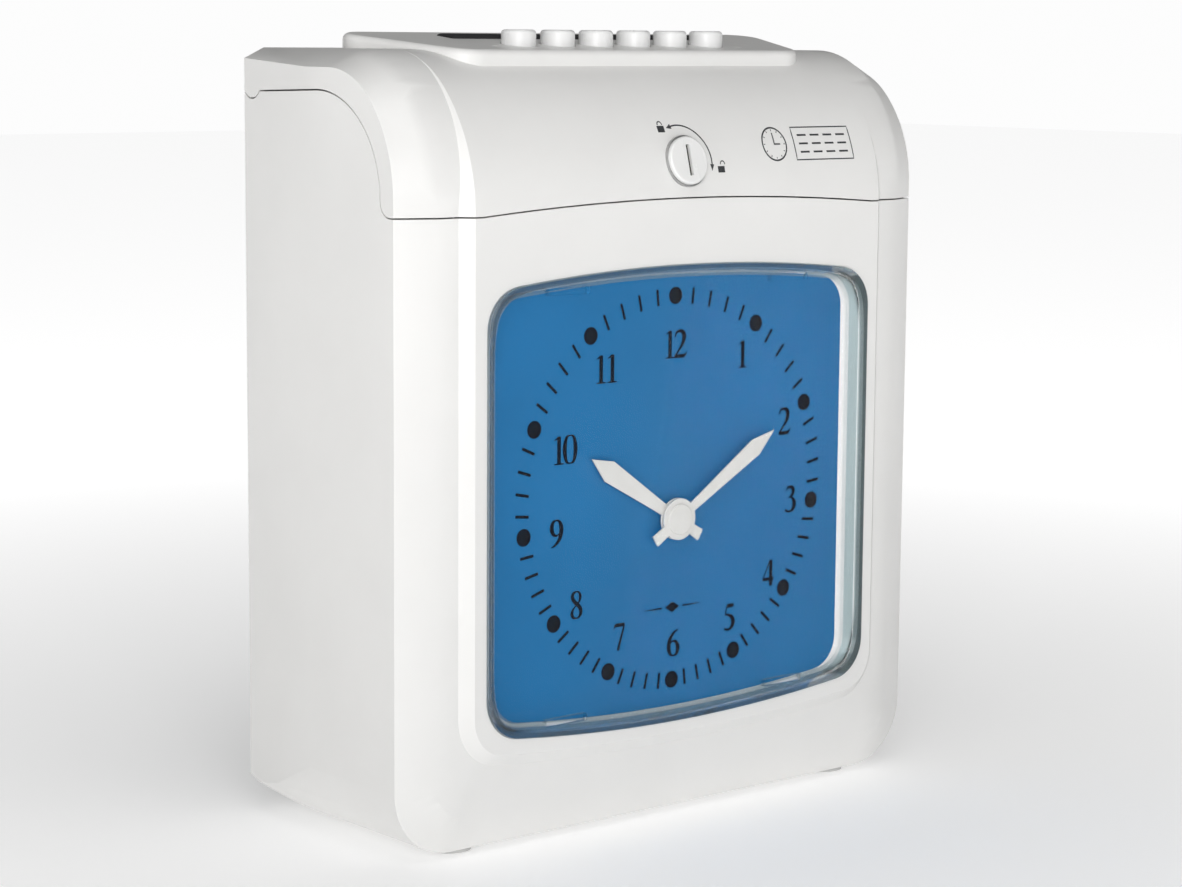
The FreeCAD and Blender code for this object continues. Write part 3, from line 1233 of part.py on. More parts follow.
# -------------------------------------------------------------------- printer
node(group(*[cyl("X", S["shaft_x"], y, z, r, S["shaft_len"]) for y, z, r in RODS]),
     "carriage_rods")
carriage_w = 2 * S["carriage_half"]
block = box(-S["carriage_half"], at(S["carriage_depth"]), S["carriage_z"], carriage_w,
            S["carriage_len"], S["carriage_h"])
tab = box(-5, at(37), 186.4, 10, 4, 2)
node(cut(fuse(block, tab), *[cyl("X", -20, y, z, r + S["pin_play"], 40) for y, z, r in RODS]),
     "print_carriage")
head = box(-S["head_half"], at(S["head_depth"]), S["head_z"], 2 * S["head_half"], S["head_len"],
           S["head_h"])
fins = [box(-11.5, at(32.5 + 3.2 * i), 203, 23, 1.4, 20) for i in range(4)]
nose = box(-5, at(47), 207.5, 10, 6.6, 9)
needles = [cyl("Y", 0, at(53.2), 208.6 + S["needle_pitch"] * i, S["needle_r"], 0.6)
           for i in range(9)]
node(fuse(cut(fuse(head, nose), *fins), *needles), "print_head")

ARMS = (-S["arm_x"] - S["arm_w"], S["arm_x"])
knob_x, knob_y = S["knob_x"], at(S["knob_depth"])
ribbon_top = box(-S["ribbon_half"], at(27.5), 225.5, 2 * S["ribbon_half"], 21, 9.5)
arms = [box(x, at(44), 205, S["arm_w"], 9.6, 22) for x in ARMS]
mouths = [box(x, at(51.9), 206, S["arm_w"], 0.9, 12.6) for x in ARMS]
shell_r = cut(fuse(ribbon_top, *arms), *mouths)
node(cut(shell_r, cyl("Z", knob_x, knob_y, 230, 2.55, 10)), "ribbon_cartridge")
node(box(-60, at(54.1), 206.2, 120, 0.12, 12), "ink_ribbon")
knob = fuse(cyl("Z", knob_x, knob_y, 235.3, 8.0, 3.4), cyl("Z", knob_x, knob_y, 231, 2.5, 5),
            box(knob_x - 6.5, knob_y - 0.8, 238.2, 13, 1.6, 2.6))
node(knob, "ribbon_knob")


def pulley(x):
    """Belt pulley with one flange at its front."""
    return fuse(cyl("Y", x, at(36.8), belt_z, S["pulley_r"], 5.6),
                cyl("Y", x, at(36.2), belt_z, S["flange_r"], 0.6))


def belt_form(r, depth, width):
    """Two round ends joined by a straight run."""
    ends = [cyl("Y", x, at(depth), belt_z, r, width) for x in (-belt_x, belt_x)]
    return fuse(*ends, box(-belt_x, at(depth), belt_z - r, 2 * belt_x, width, 2 * r))


node(fuse(pulley(-belt_x), cyl("Y", -belt_x, at(16), belt_z, S["motor_shaft_r"], 21)),
     "drive_pulley")
node(cut(pulley(belt_x), cyl("Y", belt_x, at(30), belt_z, 1.55, 20)), "idler_pulley")
belt_d, belt_w = S["belt_depth"], S["belt_w"]
node(cut(belt_form(S["belt_r"], belt_d, belt_w),
         belt_form(S["belt_r"] - S["belt_t"], belt_d - 1, belt_w + 2)), "carriage_belt")
node(cut(fuse(cyl("Y", -belt_x, at(S["step_motor_depth"]), belt_z, S["step_motor_r"],
                  S["step_motor_len"]),
              cyl("Y", -belt_x, at(28), belt_z, 3.4, 2)),
         cyl("Y", -belt_x, at(15), belt_z, S["motor_bore"], 20)), "carriage_motor")

# -------------------------------------------------------------- electronics
board_y = at(S["board_depth"])
board = box(-S["board_half"], board_y, S["board_z"], 2 * S["board_half"], S["board_t"],
            S["board_h"])
node(cut(board, *[cyl("Y", x, at(80), z, S["screw_hole"], 9) for x, z in BOARD_POSTS]),
     "main_board")
chip_half = S["chip_half"]
legs = []
for i in range(14):
    for x in (-chip_half - 2, chip_half):
        legs.append(box(x, at(81.2), 101 + S["lead_pitch"] * i, 2.0, 0.8, 1.0))
chip = box(-chip_half, at(78.4), S["chip_z"], 2 * chip_half, 3.2, S["chip_h"])
node(group(chip, *legs), "processor_chip")

# capacitors, buzzer and quartz: (x, z, radius, height)
ROUND_PARTS = [(-40, 66, 8, 12.5), (-58, 80, 5, 11), (30, 62, 6.3, 12), (46, 62, 4, 9),
               (-34, 150, 4, 7), (48, 118, 11, 9.5)]
# plug connectors: (x, z, width)
CONNECTORS = [(-44, 162, 22), (-14, 162, 26), (18, 162, 18), (28, 80, 24)]
on_board = [cyl("Y", x, board_y - h, z, r, h) for x, z, r, h in ROUND_PARTS]
on_board += [box(x, board_y - 8.5, z, w, 8.5, 6.5) for x, z, w in CONNECTORS]
node(group(*on_board), "board_components")

# mains transformer: laminated core on a foot, coil on its middle limb
core_windows = [box(x, at(10), 12.2, 8, 60, 24) for x in (-66, -46)]
core = cut(box(-74, at(20), 6.2, 44, 36, 36), *core_windows)
core_foot = box(-80, at(26), 4.5, 56, 24, 1.7)
node(fuse(core, core_foot), "transformer_core")
coil = cut(box(-65.8, at(10), 12.4, 27.6, 56, 23.6), box(-58.2, at(0), 0, 12.4, 80, 50))
node(coil, "transformer_coil")
node(group(*[cyl("Y", x, at(18), S["cell_z"], S["cell_r"], 36) for x in CELLS]),
     "backup_battery")

ix, iz = S["inlet_x"], S["inlet_z"]
socket = box(ix - 12.6, at(76), iz - 8.1, 25.2, 19.2, 16.2)
flange = box(ix - 16, rear_y, iz - 11.4, 32, 1.8, 22.8)
well = rounded(box(ix - 9.8, at(82), iz - 5.4, 19.6, 30, 10.8), 3.0,
               lambda e: near(e.BoundBox.YLength, 30))
prongs = [cyl("Y", x, at(80), iz, 1.15, 10) for x in (ix - 4.3, ix + 4.3)]
node(fuse(cut(fuse(socket, flange), well), *prongs), "power_inlet")

TERMINALS = [S["terminal_x"] + S["terminal_pitch"] * i for i in range(4)]
block = box(-73.6, at(80), 25, 31.2, 17.5, 14)
ports = [cyl("Y", x, at(90), 29, 1.8, 20) for x in TERMINALS]
wells = [cyl("Y", x, at(94.5), 35, 2.2, 20) for x in TERMINALS]
clamps = [cut(cyl("Y", x, at(94.5), 35, 2.1, 1.6), box(x - 2.5, at(95.6), 34.7, 5, 2, 0.6))
          for x in TERMINALS]
node(group(cut(block, *ports, *wells), *clamps), "bell_terminals")

# ------------------------------------------------------------ check and save
doc.recompute()
bad = [o.Name for o in doc.Objects if "Invalid" in o.State or "Error" in o.State]
for piece in PARTS:
    if piece.Shape.isNull() or not piece.Shape.isValid() or not piece.Shape.Solids:
        bad.append(piece.Label)
if bad:
    raise SystemExit("failed: " + ", ".join(bad))
os.makedirs("parts", exist_ok=True)
for piece in PARTS:
    piece.Shape.exportStep(f"parts/{piece.Label}.step")
    b = piece.Shape.BoundBox
    print(f"{piece.Label:24s} solids {len(piece.Shape.Solids):3d}  vol {piece.Shape.Volume:10.1f}  "
          f"x {b.XMin:7.1f} {b.XMax:7.1f}  y {b.YMin:7.1f} {b.YMax:7.1f}  "
          f"z {b.ZMin:6.1f} {b.ZMax:6.1f}")
print(len(PARTS), "pieces")
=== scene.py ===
"""Punch time clock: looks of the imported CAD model, with its printed dial, studio and camera.

Lengths are written in millimetres and turned into metres by MM.  The row frame has the dial
facing -Y and the feet standing on z = 0.
"""

import math

import bmesh
import bpy
from mathutils import Matrix, Vector
from mathutils.bvhtree import BVHTree


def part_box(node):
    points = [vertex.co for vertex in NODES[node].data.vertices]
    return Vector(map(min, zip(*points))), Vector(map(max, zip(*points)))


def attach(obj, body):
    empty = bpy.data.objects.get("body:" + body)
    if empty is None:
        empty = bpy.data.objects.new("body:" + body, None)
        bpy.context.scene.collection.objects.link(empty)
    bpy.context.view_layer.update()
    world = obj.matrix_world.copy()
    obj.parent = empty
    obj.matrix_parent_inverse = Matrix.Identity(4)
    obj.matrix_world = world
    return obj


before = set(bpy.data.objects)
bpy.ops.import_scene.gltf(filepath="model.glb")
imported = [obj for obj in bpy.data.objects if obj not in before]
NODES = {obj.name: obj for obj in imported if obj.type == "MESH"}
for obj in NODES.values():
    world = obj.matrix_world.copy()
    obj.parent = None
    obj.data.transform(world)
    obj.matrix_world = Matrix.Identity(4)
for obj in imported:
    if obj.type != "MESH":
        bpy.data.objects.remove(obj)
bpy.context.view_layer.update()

MM = 0.001
WAVE_SCALE = 0.314159    # wave texture scale that gives one crest per metre
FRONT_Y = -46.9          # plane of the main front face, mm
DIAL_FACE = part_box("dial_plate")[0].y / MM
HUB_Z = 101.2            # height of the hand arbor, mm


def at(depth):
    """Y in mm of a point that lies this far behind the main front face."""
    return FRONT_Y + depth


# --------------------------------------------------------------------- shading kit
def map_range(tree, lo, hi, out_lo, out_hi):
    """Node that maps lo..hi to out_lo..out_hi, clamped."""
    n = tree.nodes.new("ShaderNodeMapRange")
    limits = {"From Min": lo, "From Max": hi, "To Min": out_lo, "To Max": out_hi}
    for key, number in limits.items():
        n.inputs[key].default_value = number
    return n


class Shade:
    """A node material built around one Principled shader."""

    def __init__(self, name, color, rough, metallic=0.0):
        self.mat = bpy.data.materials.new(name)
        self.mat.use_nodes = True
        self.tree = self.mat.node_tree
        self.tree.nodes.clear()
        self.out = self.tree.nodes.new("ShaderNodeOutputMaterial")
        self.skin = self.tree.nodes.new("ShaderNodeBsdfPrincipled")
        self.join(self.skin.outputs[0], self.out.inputs["Surface"])
        self.place = self.tree.nodes.new("ShaderNodeTexCoord").outputs["Object"]
        self.set("Base Color", (*color, 1.0))
        self.set("Roughness", rough)
        self.set("Metallic", metallic)

    def set(self, socket, value):
        self.skin.inputs[socket].default_value = value

    def join(self, a, b):
        self.tree.links.new(a, b)

    def add(self, kind, **settings):
        n = self.tree.nodes.new(kind)
        for key, value in settings.items():
            setattr(n, key, value)
        return n

    def stretch(self, scale):
        """Object coordinates scaled along X, Y and Z."""
        n = self.add("ShaderNodeMapping")
        n.inputs["Scale"].default_value = scale
        self.join(self.place, n.inputs["Vector"])
        return n.outputs[0]

    def noise(self, size_mm, detail=3.0, rough=0.5, vector=None):
        """Cloud pattern whose blotches are about size_mm across."""
        n = self.add("ShaderNodeTexNoise")
        n.inputs["Scale"].default_value = 1.0 / (size_mm * MM)
        n.inputs["Detail"].default_value = detail
        n.inputs["Roughness"].default_value = rough
        self.join(vector or self.place, n.inputs["Vector"])
        return n.outputs["Fac"]

    def cells(self, size_mm):
        """Distance to the nearest of scattered points, about size_mm apart."""
        n = self.add("ShaderNodeTexVoronoi")
        n.inputs["Scale"].default_value = 1.0 / (size_mm * MM)
        self.join(self.place, n.inputs["Vector"])
        return n.outputs["Distance"]

    def bands(self, size_mm, axis):
        """Stripes across an axis, size_mm from crest to crest."""
        n = self.add("ShaderNodeTexWave", bands_direction=axis)
        n.inputs["Scale"].default_value = WAVE_SCALE / (size_mm * MM)
        self.join(self.place, n.inputs["Vector"])
        return n.outputs["Fac"]

    def ramp(self, value, lo, hi, out_lo=0.0, out_hi=1.0):
        """Map value from lo..hi to out_lo..out_hi, clamped."""
        n = map_range(self.tree, lo, hi, out_lo, out_hi)
        self.join(value, n.inputs["Value"])
        return n.outputs[0]

    def math(self, operation, a, b):
        """Sum, product or other operation on two numbers or sockets."""
        n = self.add("ShaderNodeMath", operation=operation)
        for socket, value in ((n.inputs[0], a), (n.inputs[1], b)):
            if isinstance(value, (int, float)):
                socket.default_value = value
            else:
                self.join(value, socket)
        return n.outputs[0]

    def axis(self, letter):
        """One object coordinate, in metres."""
        n = self.add("ShaderNodeSeparateXYZ")
        self.join(self.place, n.inputs[0])
        return n.outputs[letter]

    def blend(self, factor, a, b):
        """Colour that goes from a to b with factor."""
        n = self.add("ShaderNodeMix", data_type="RGBA")
        self.join(factor, n.inputs["Factor"])
        for socket, value in ((n.inputs[6], a), (n.inputs[7], b)):
            if isinstance(value, tuple):
                socket.default_value = (*value, 1.0)
            else:
                self.join(value, socket)
        return n.outputs[2]

    def color(self, value):
        self.join(value, self.skin.inputs["Base Color"])
        return self

    def rough(self, value):
        self.join(value, self.skin.inputs["Roughness"])
        return self

    def bump(self, height, depth_mm, strength=1.0):
        """Relief of depth_mm; more than one is stacked."""
        n = self.add("ShaderNodeBump")
        n.inputs["Strength"].default_value = strength
        n.inputs["Distance"].default_value = depth_mm * MM
        self.join(height, n.inputs["Height"])
        old = self.skin.inputs["Normal"]
        if old.is_linked:
            self.join(old.links[0].from_socket, n.inputs["Normal"])
        self.join(n.outputs[0], old)
        return self


def scaled(color, factor):
    return tuple(c * factor for c in color)


def moulded(name, color, rough=0.42, grain=0.35, depth=0.012, mottle=0.03, dirt=0.10):
    """Moulded plastic: spark-eroded grain, slow colour drift and rub marks."""
    s = Shade(name, color, rough)
    slow = s.ramp(s.noise(38, 4), 0.35, 0.65)
    tone = s.blend(slow, scaled(color, 1.0 - mottle), scaled(color, 1.0 + mottle * 0.4))
    specks = s.ramp(s.noise(2.2, 5, 0.7), 0.68, 0.80)
    marked = s.blend(s.math("MULTIPLY", specks, dirt), tone, scaled(color, 0.72))
    s.color(marked)
    rub = s.ramp(s.noise(11, 6, 0.6, s.stretch((1.0, 1.0, 0.35))), 0.3, 0.7)
    s.rough(s.ramp(rub, 0.0, 1.0, rough - 0.05, rough + 0.07))
    s.bump(s.noise(grain, 2, 0.6), depth)
    s.bump(s.noise(26, 2), 0.05, 0.25)
    return s


def plated(name, color, rough=0.33, along="X", streak=0.3):
    """Sheet or turned metal with fine drawn streaks."""
    s = Shade(name, color, rough, 1.0)
    pull = {"X": (0.04, 1, 1), "Y": (1, 0.04, 1), "Z": (1, 1, 0.04)}[along]
    lines = s.noise(streak, 4, 0.6, s.stretch(pull))
    cloud = s.ramp(s.noise(9, 5, 0.6), 0.3, 0.7)
    s.color(s.blend(cloud, scaled(color, 0.86), scaled(color, 1.08)))
    s.rough(s.ramp(lines, 0.3, 0.7, rough - 0.07, rough + 0.12))
    s.bump(lines, 0.01, 0.5)
    return s


# ----------------------------------------------------------------------- materials
WINDOW_ARC = 640.0       # radius of the arched top and bottom of the window, mm
WINDOW_MID = 110.05      # middle height of the window, mm
LENS_HALF_X, LENS_HALF_Z = 83.35, 76.2
CORNER_POWER = 13.5      # makes a rounded square with the window's corner radius
EDGE_SHADE_BAND = (0.974, 0.981)   # painted shade of the gap at the bezel: the dark band starts and is full at this part of the half size
WALL_TO_FACE = (0.75, 0.95)  # |normal y| of the sloping walls and of the flat face
WALL_ALPHA, FACE_ALPHA, EDGE_ALPHA = 0.55, 0.015, 0.72
WARM_WHITE = (0.800, 0.795, 0.780)


def case_white():
    return moulded("case_white", WARM_WHITE, rough=0.36, grain=0.40, depth=0.010,
                   mottle=0.02, dirt=0.08)


def key_white():
    return moulded("key_white", (0.86, 0.86, 0.855), rough=0.28, grain=0.5, depth=0.004,
                   mottle=0.02, dirt=0.05)


def dial_blue():
    """Printed blue sheet: fine print grain and a faint sheen."""
    color = (0.021, 0.163, 0.378)
    s = Shade("dial_blue", color, 0.55)
    s.set("Specular IOR Level", 0.06)
    cloud = s.ramp(s.noise(60, 3), 0.35, 0.65)
    dots = s.ramp(s.cells(0.45), 0.1, 0.5)
    tone = s.blend(cloud, scaled(color, 0.94), scaled(color, 1.06))
    s.color(s.blend(s.math("MULTIPLY", dots, 0.10), tone, scaled(color, 1.35)))
    s.rough(s.ramp(s.noise(3.0, 4), 0.3, 0.7, 0.60, 0.74))
    s.bump(s.noise(0.3, 2), 0.004)
    return s


def clear_lens():
    """Clear acrylic tray: tinted side walls and a dark teal band round the outline, painted shade
    of the gap between lens and bezel.
    """
    s = Shade("clear_lens", (0.93, 0.97, 0.98), 0.03)
    s.set("Transmission Weight", 1.0)
    s.set("IOR", 1.49)
    facing = s.add("ShaderNodeNewGeometry").outputs["Normal"]
    split = s.add("ShaderNodeSeparateXYZ")
    s.join(facing, split.inputs[0])
    face_on = s.math("ABSOLUTE", split.outputs["Y"], 0.0)
    # how near a point is to the outline: a rounded square over the arched top and bottom
    x, z = s.axis("X"), s.axis("Z")
    arch = s.math("DIVIDE", s.math("MULTIPLY", x, x), 2 * WINDOW_ARC * MM)
    height = s.math("ABSOLUTE", s.math("SUBTRACT", z, WINDOW_MID * MM), 0.0)
    u = s.math("DIVIDE", s.math("ABSOLUTE", x, 0.0), LENS_HALF_X * MM)
    v = s.math("DIVIDE", s.math("ADD", height, arch), LENS_HALF_Z * MM)
    power = s.math("ADD", s.math("POWER", u, CORNER_POWER), s.math("POWER", v, CORNER_POWER))
    reach = s.math("POWER", power, 1.0 / CORNER_POWER)
    # painted shade: a dark band round the outline stands for the shaded gap between lens and
    # bezel
    edge = s.ramp(reach, *EDGE_SHADE_BAND)
    body_alpha = s.ramp(face_on, *WALL_TO_FACE, WALL_ALPHA, FACE_ALPHA)
    alpha = s.math("MAXIMUM", body_alpha, s.math("MULTIPLY", edge, EDGE_ALPHA))
    s.join(alpha, s.skin.inputs["Alpha"])
    walls = s.blend(s.ramp(face_on, *WALL_TO_FACE), (0.22, 0.36, 0.39), (0.95, 0.98, 0.99))
    # the outline band takes a dark teal colour as painted shade
    s.color(s.blend(edge, walls, (0.045, 0.085, 0.092)))
    s.rough(s.ramp(s.noise(7.0, 6, 0.7), 0.45, 0.8, 0.015, 0.09))
    s.bump(s.noise(45, 1), 0.04, 0.2)
    return s


def print_black():
    """Matt black dial ink."""
    s = Shade("print_black", (0.006, 0.007, 0.010), 0.6)
    s.set("Specular IOR Level", 0.08)
    cloud = s.ramp(s.noise(0.5, 3), 0.4, 0.7)
    s.color(s.blend(cloud, (0.004, 0.005, 0.008), (0.012, 0.013, 0.018)))
    s.rough(s.ramp(s.noise(0.8, 3), 0.3, 0.7, 0.52, 0.68))
    s.bump(s.noise(0.2, 2), 0.004)
    return s


def print_grey():
    """Grey ink of the signs on the lid."""
    s = Shade("print_grey", (0.04, 0.042, 0.045), 0.45)
    cloud = s.ramp(s.noise(0.5, 3), 0.4, 0.7)
    s.color(s.blend(cloud, (0.030, 0.032, 0.035), (0.060, 0.063, 0.066)))
    s.rough(s.ramp(s.noise(0.8, 3), 0.3, 0.7, 0.38, 0.55))
    s.bump(s.noise(0.2, 2), 0.004)
    return s


def black_plastic():
    return moulded("black_plastic", (0.022, 0.022, 0.024), rough=0.45, grain=0.35,
                   depth=0.012, mottle=0.15, dirt=0.05)


def hand_white():
    """Cream white paint of the hands."""
    s = Shade("hand_white", (0.72, 0.715, 0.69), 0.45)
    cloud = s.ramp(s.noise(5, 3), 0.3, 0.7)
    s.color(s.blend(cloud, (0.70, 0.695, 0.67), (0.74, 0.735, 0.715)))
    s.rough(s.ramp(s.noise(1.2, 4), 0.3, 0.7, 0.30, 0.46))
    s.bump(s.noise(0.35, 3), 0.006)
    return s


def rubber():
    s = moulded("rubber", (0.030, 0.030, 0.031), rough=0.78, grain=0.5, depth=0.03,
                mottle=0.2, dirt=0.1)
    s.set("Specular IOR Level", 0.35)
    return s


def grey_rubber():
    return moulded("grey_rubber", (0.56, 0.56, 0.55), rough=0.7, grain=0.5, depth=0.02,
                   mottle=0.06, dirt=0.1)


def circuit_board():
    """Green solder mask over a stepped grid of copper tracks."""
    s = Shade("circuit_board", (0.01, 0.10, 0.035), 0.32)
    steps = s.add("ShaderNodeTexBrick")
    steps.inputs["Scale"].default_value = 1.0
    steps.inputs["Brick Width"].default_value = 9 * MM
    steps.inputs["Row Height"].default_value = 2.6 * MM
    steps.inputs["Mortar Size"].default_value = 0.35 * MM
    steps.inputs["Mortar Smooth"].default_value = 0.0
    swap = s.add("ShaderNodeCombineXYZ")
    s.join(s.axis("X"), swap.inputs["X"])
    s.join(s.math("ADD", s.axis("Z"), s.axis("Y")), swap.inputs["Y"])
    s.join(swap.outputs[0], steps.inputs["Vector"])
    s.color(s.blend(steps.outputs["Fac"], (0.008, 0.085, 0.030), (0.020, 0.17, 0.055)))
    s.rough(s.ramp(s.noise(4, 4), 0.3, 0.7, 0.25, 0.42))
    s.bump(steps.outputs["Fac"], 0.035)
    return s


def gear_plastic():
    s = moulded("gear_plastic", (0.70, 0.68, 0.62), rough=0.45, grain=0.4, depth=0.01,
                mottle=0.04, dirt=0.1)
    s.set("Subsurface Weight", 0.15)
    s.set("Subsurface Scale", 0.002)
    return s


def steel_core():
    """Stacked laminations with varnish."""
    s = Shade("steel_core", (0.10, 0.10, 0.105), 0.45, 0.6)
    sheets = s.bands(1.0, "Y")
    s.color(s.blend(sheets, (0.035, 0.034, 0.034), (0.16, 0.155, 0.15)))
    s.rough(s.ramp(s.noise(3, 4), 0.3, 0.7, 0.35, 0.6))
    s.bump(sheets, 0.12)
    return s


def copper_coil():
    """Yellow taped winding with the wire's ridges showing through."""
    s = Shade("copper_coil", (0.50, 0.32, 0.06), 0.35)
    wire = s.bands(0.9, "Z")
    cloud = s.ramp(s.noise(6, 3), 0.3, 0.7)
    s.color(s.blend(cloud, (0.42, 0.26, 0.045), (0.56, 0.38, 0.09)))
    s.rough(s.ramp(s.noise(2, 4), 0.3, 0.7, 0.25, 0.5))
    s.bump(wire, 0.10)
    return s


def battery_wrap():
    """Green shrink sleeve with crinkles."""
    s = Shade("battery_wrap", (0.02, 0.16, 0.07), 0.28)
    crinkle = s.noise(2.2, 4, 0.6)
    cloud = s.ramp(s.noise(9, 3), 0.3, 0.7)
    s.color(s.blend(cloud, (0.015, 0.13, 0.055), (0.03, 0.20, 0.09)))
    s.rough(s.ramp(crinkle, 0.3, 0.7, 0.18, 0.38))
    s.bump(crinkle, 0.08)
    return s


def ribbon_fabric():
    """Inked woven nylon."""
    s = Shade("ribbon_fabric", (0.012, 0.011, 0.016), 0.85)
    warp = s.math("MULTIPLY", s.bands(0.35, "X"), s.bands(0.35, "Z"))
    s.color(s.blend(warp, (0.006, 0.006, 0.010), (0.030, 0.028, 0.045)))
    s.rough(s.ramp(s.noise(2, 3), 0.3, 0.7, 0.75, 0.95))
    s.bump(warp, 0.05)
    return s


def belt_rubber():
    """Moulded belt rubber with a woven back."""
    s = Shade("belt_rubber", (0.028, 0.028, 0.030), 0.7)
    weave = s.math("MAXIMUM", s.bands(0.6, "DIAGONAL"), s.bands(0.6, "Y"))
    s.color(s.blend(weave, (0.015, 0.015, 0.017), (0.05, 0.05, 0.052)))
    s.rough(s.ramp(s.noise(3, 3), 0.3, 0.7, 0.6, 0.85))
    s.bump(weave, 0.05)
    return s


def terminal_green():
    return moulded("terminal_plastic", (0.03, 0.26, 0.11), rough=0.4, grain=0.4, depth=0.01,
                   mottle=0.05, dirt=0.1)


def lock_white():
    return moulded("lock_white", (0.83, 0.83, 0.82), rough=0.30, grain=0.4, depth=0.004,
                   mottle=0.03, dirt=0.1)


# name: colour, roughness, direction and spacing in mm of the drawn streaks
METALS = {
    "steel": ((0.58, 0.585, 0.59), 0.32, "Z", 0.3),
    "turned_steel": ((0.66, 0.66, 0.67), 0.22, "X", 0.3),
    "zinc": ((0.50, 0.50, 0.50), 0.40, "Y", 0.6),
    "brass": ((0.78, 0.56, 0.24), 0.26, "X", 0.3),
    # painted shade: near-black metal for the keyway wafers and the screw crosses, standing for
    # shade in hollows
    "painted_shade_metal": ((0.07, 0.066, 0.06), 0.45, "Z", 0.3),
    "print_head_alloy": ((0.11, 0.11, 0.115), 0.42, "Z", 0.5),
}
MAKE = {
    "case_white": case_white, "key_white": key_white, "dial_blue": dial_blue,
    "clear_lens": clear_lens, "print_black": print_black, "black_plastic": black_plastic,
    "hand_white": hand_white, "rubber": rubber, "grey_rubber": grey_rubber,
    "circuit_board": circuit_board, "gear_plastic": gear_plastic, "steel_core": steel_core,
    "copper_coil": copper_coil, "battery_wrap": battery_wrap, "ribbon_fabric": ribbon_fabric,
    "belt_rubber": belt_rubber, "terminal_plastic": terminal_green,
    "lock_white": lock_white, "print_grey": print_grey,
}
MADE = {}


def material(name):
    """The named material, made when it is first asked for."""
    if name not in MADE:
        made = plated(name, *METALS[name]) if name in METALS else MAKE[name]()
        MADE[name] = made.mat
    return MADE[name]


# ------------------------------------------------------------------ CAD piece looks
SMOOTH_BELOW = math.radians(32)    # edges sharper than this stay sharp
BEVEL_ABOVE = math.radians(28)     # edges sharper than this are softly broken
WELD_GAP = 0.0005 * MM
NORMAL_WEIGHT = 80


def shade_by_angle():
    """Geometry nodes that shade smooth, except over edges sharper than the limit."""
    g = bpy.data.node_groups.new("shade_by_angle", "GeometryNodeTree")
    g.interface.new_socket("Geometry", in_out="INPUT", socket_type="NodeSocketGeometry")
    g.interface.new_socket("Geometry", in_out="OUTPUT", socket_type="NodeSocketGeometry")
    inn, out = g.nodes.new("NodeGroupInput"), g.nodes.new("NodeGroupOutput")
    drop = g.nodes.new("GeometryNodeRemoveAttribute")
    drop.inputs["Name"].default_value = "custom_normal"
    smooth = g.nodes.new("GeometryNodeSetShadeSmooth")
    sharp = g.nodes.new("GeometryNodeSetShadeSmooth")
    sharp.domain = "EDGE"
    sharp.inputs["Shade Smooth"].default_value = False
    angle = g.nodes.new("GeometryNodeInputMeshEdgeAngle")
    over = g.nodes.new("FunctionNodeCompare")
    over.operation = "GREATER_THAN"
    over.inputs[1].default_value = SMOOTH_BELOW
    g.links.new(inn.outputs[0], drop.inputs["Geometry"])
    g.links.new(drop.outputs[0], smooth.inputs["Geometry"])
    g.links.new(smooth.outputs[0], sharp.inputs["Geometry"])
    g.links.new(angle.outputs["Unsigned Angle"], over.inputs[0])
    g.links.new(over.outputs[0], sharp.inputs["Selection"])
    g.links.new(sharp.outputs[0], out.inputs[0])
    return g


ANGLE_SHADE = shade_by_angle()


def dress(name, look, edge, steps):
    """Give a CAD node its material and softly broken edges, edge mm wide."""
    o = NODES[name]
    o.data.materials.clear()
    o.data.materials.append(material(look))
    weld = o.modifiers.new("Weld", "WELD")
    weld.merge_threshold = WELD_GAP
    if edge:
        b = o.modifiers.new("Edges", "BEVEL")
        b.width = edge * MM
        b.segments = steps
        b.limit_method = "ANGLE"
        b.angle_limit = BEVEL_ABOVE
        b.miter_outer = "MITER_ARC"
    shade = o.modifiers.new("Shade", "NODES")
    shade.node_group = ANGLE_SHADE
    if edge:
        normals = o.modifiers.new("Normals", "WEIGHTED_NORMAL")
        normals.keep_sharp = True
        normals.weight = NORMAL_WEIGHT


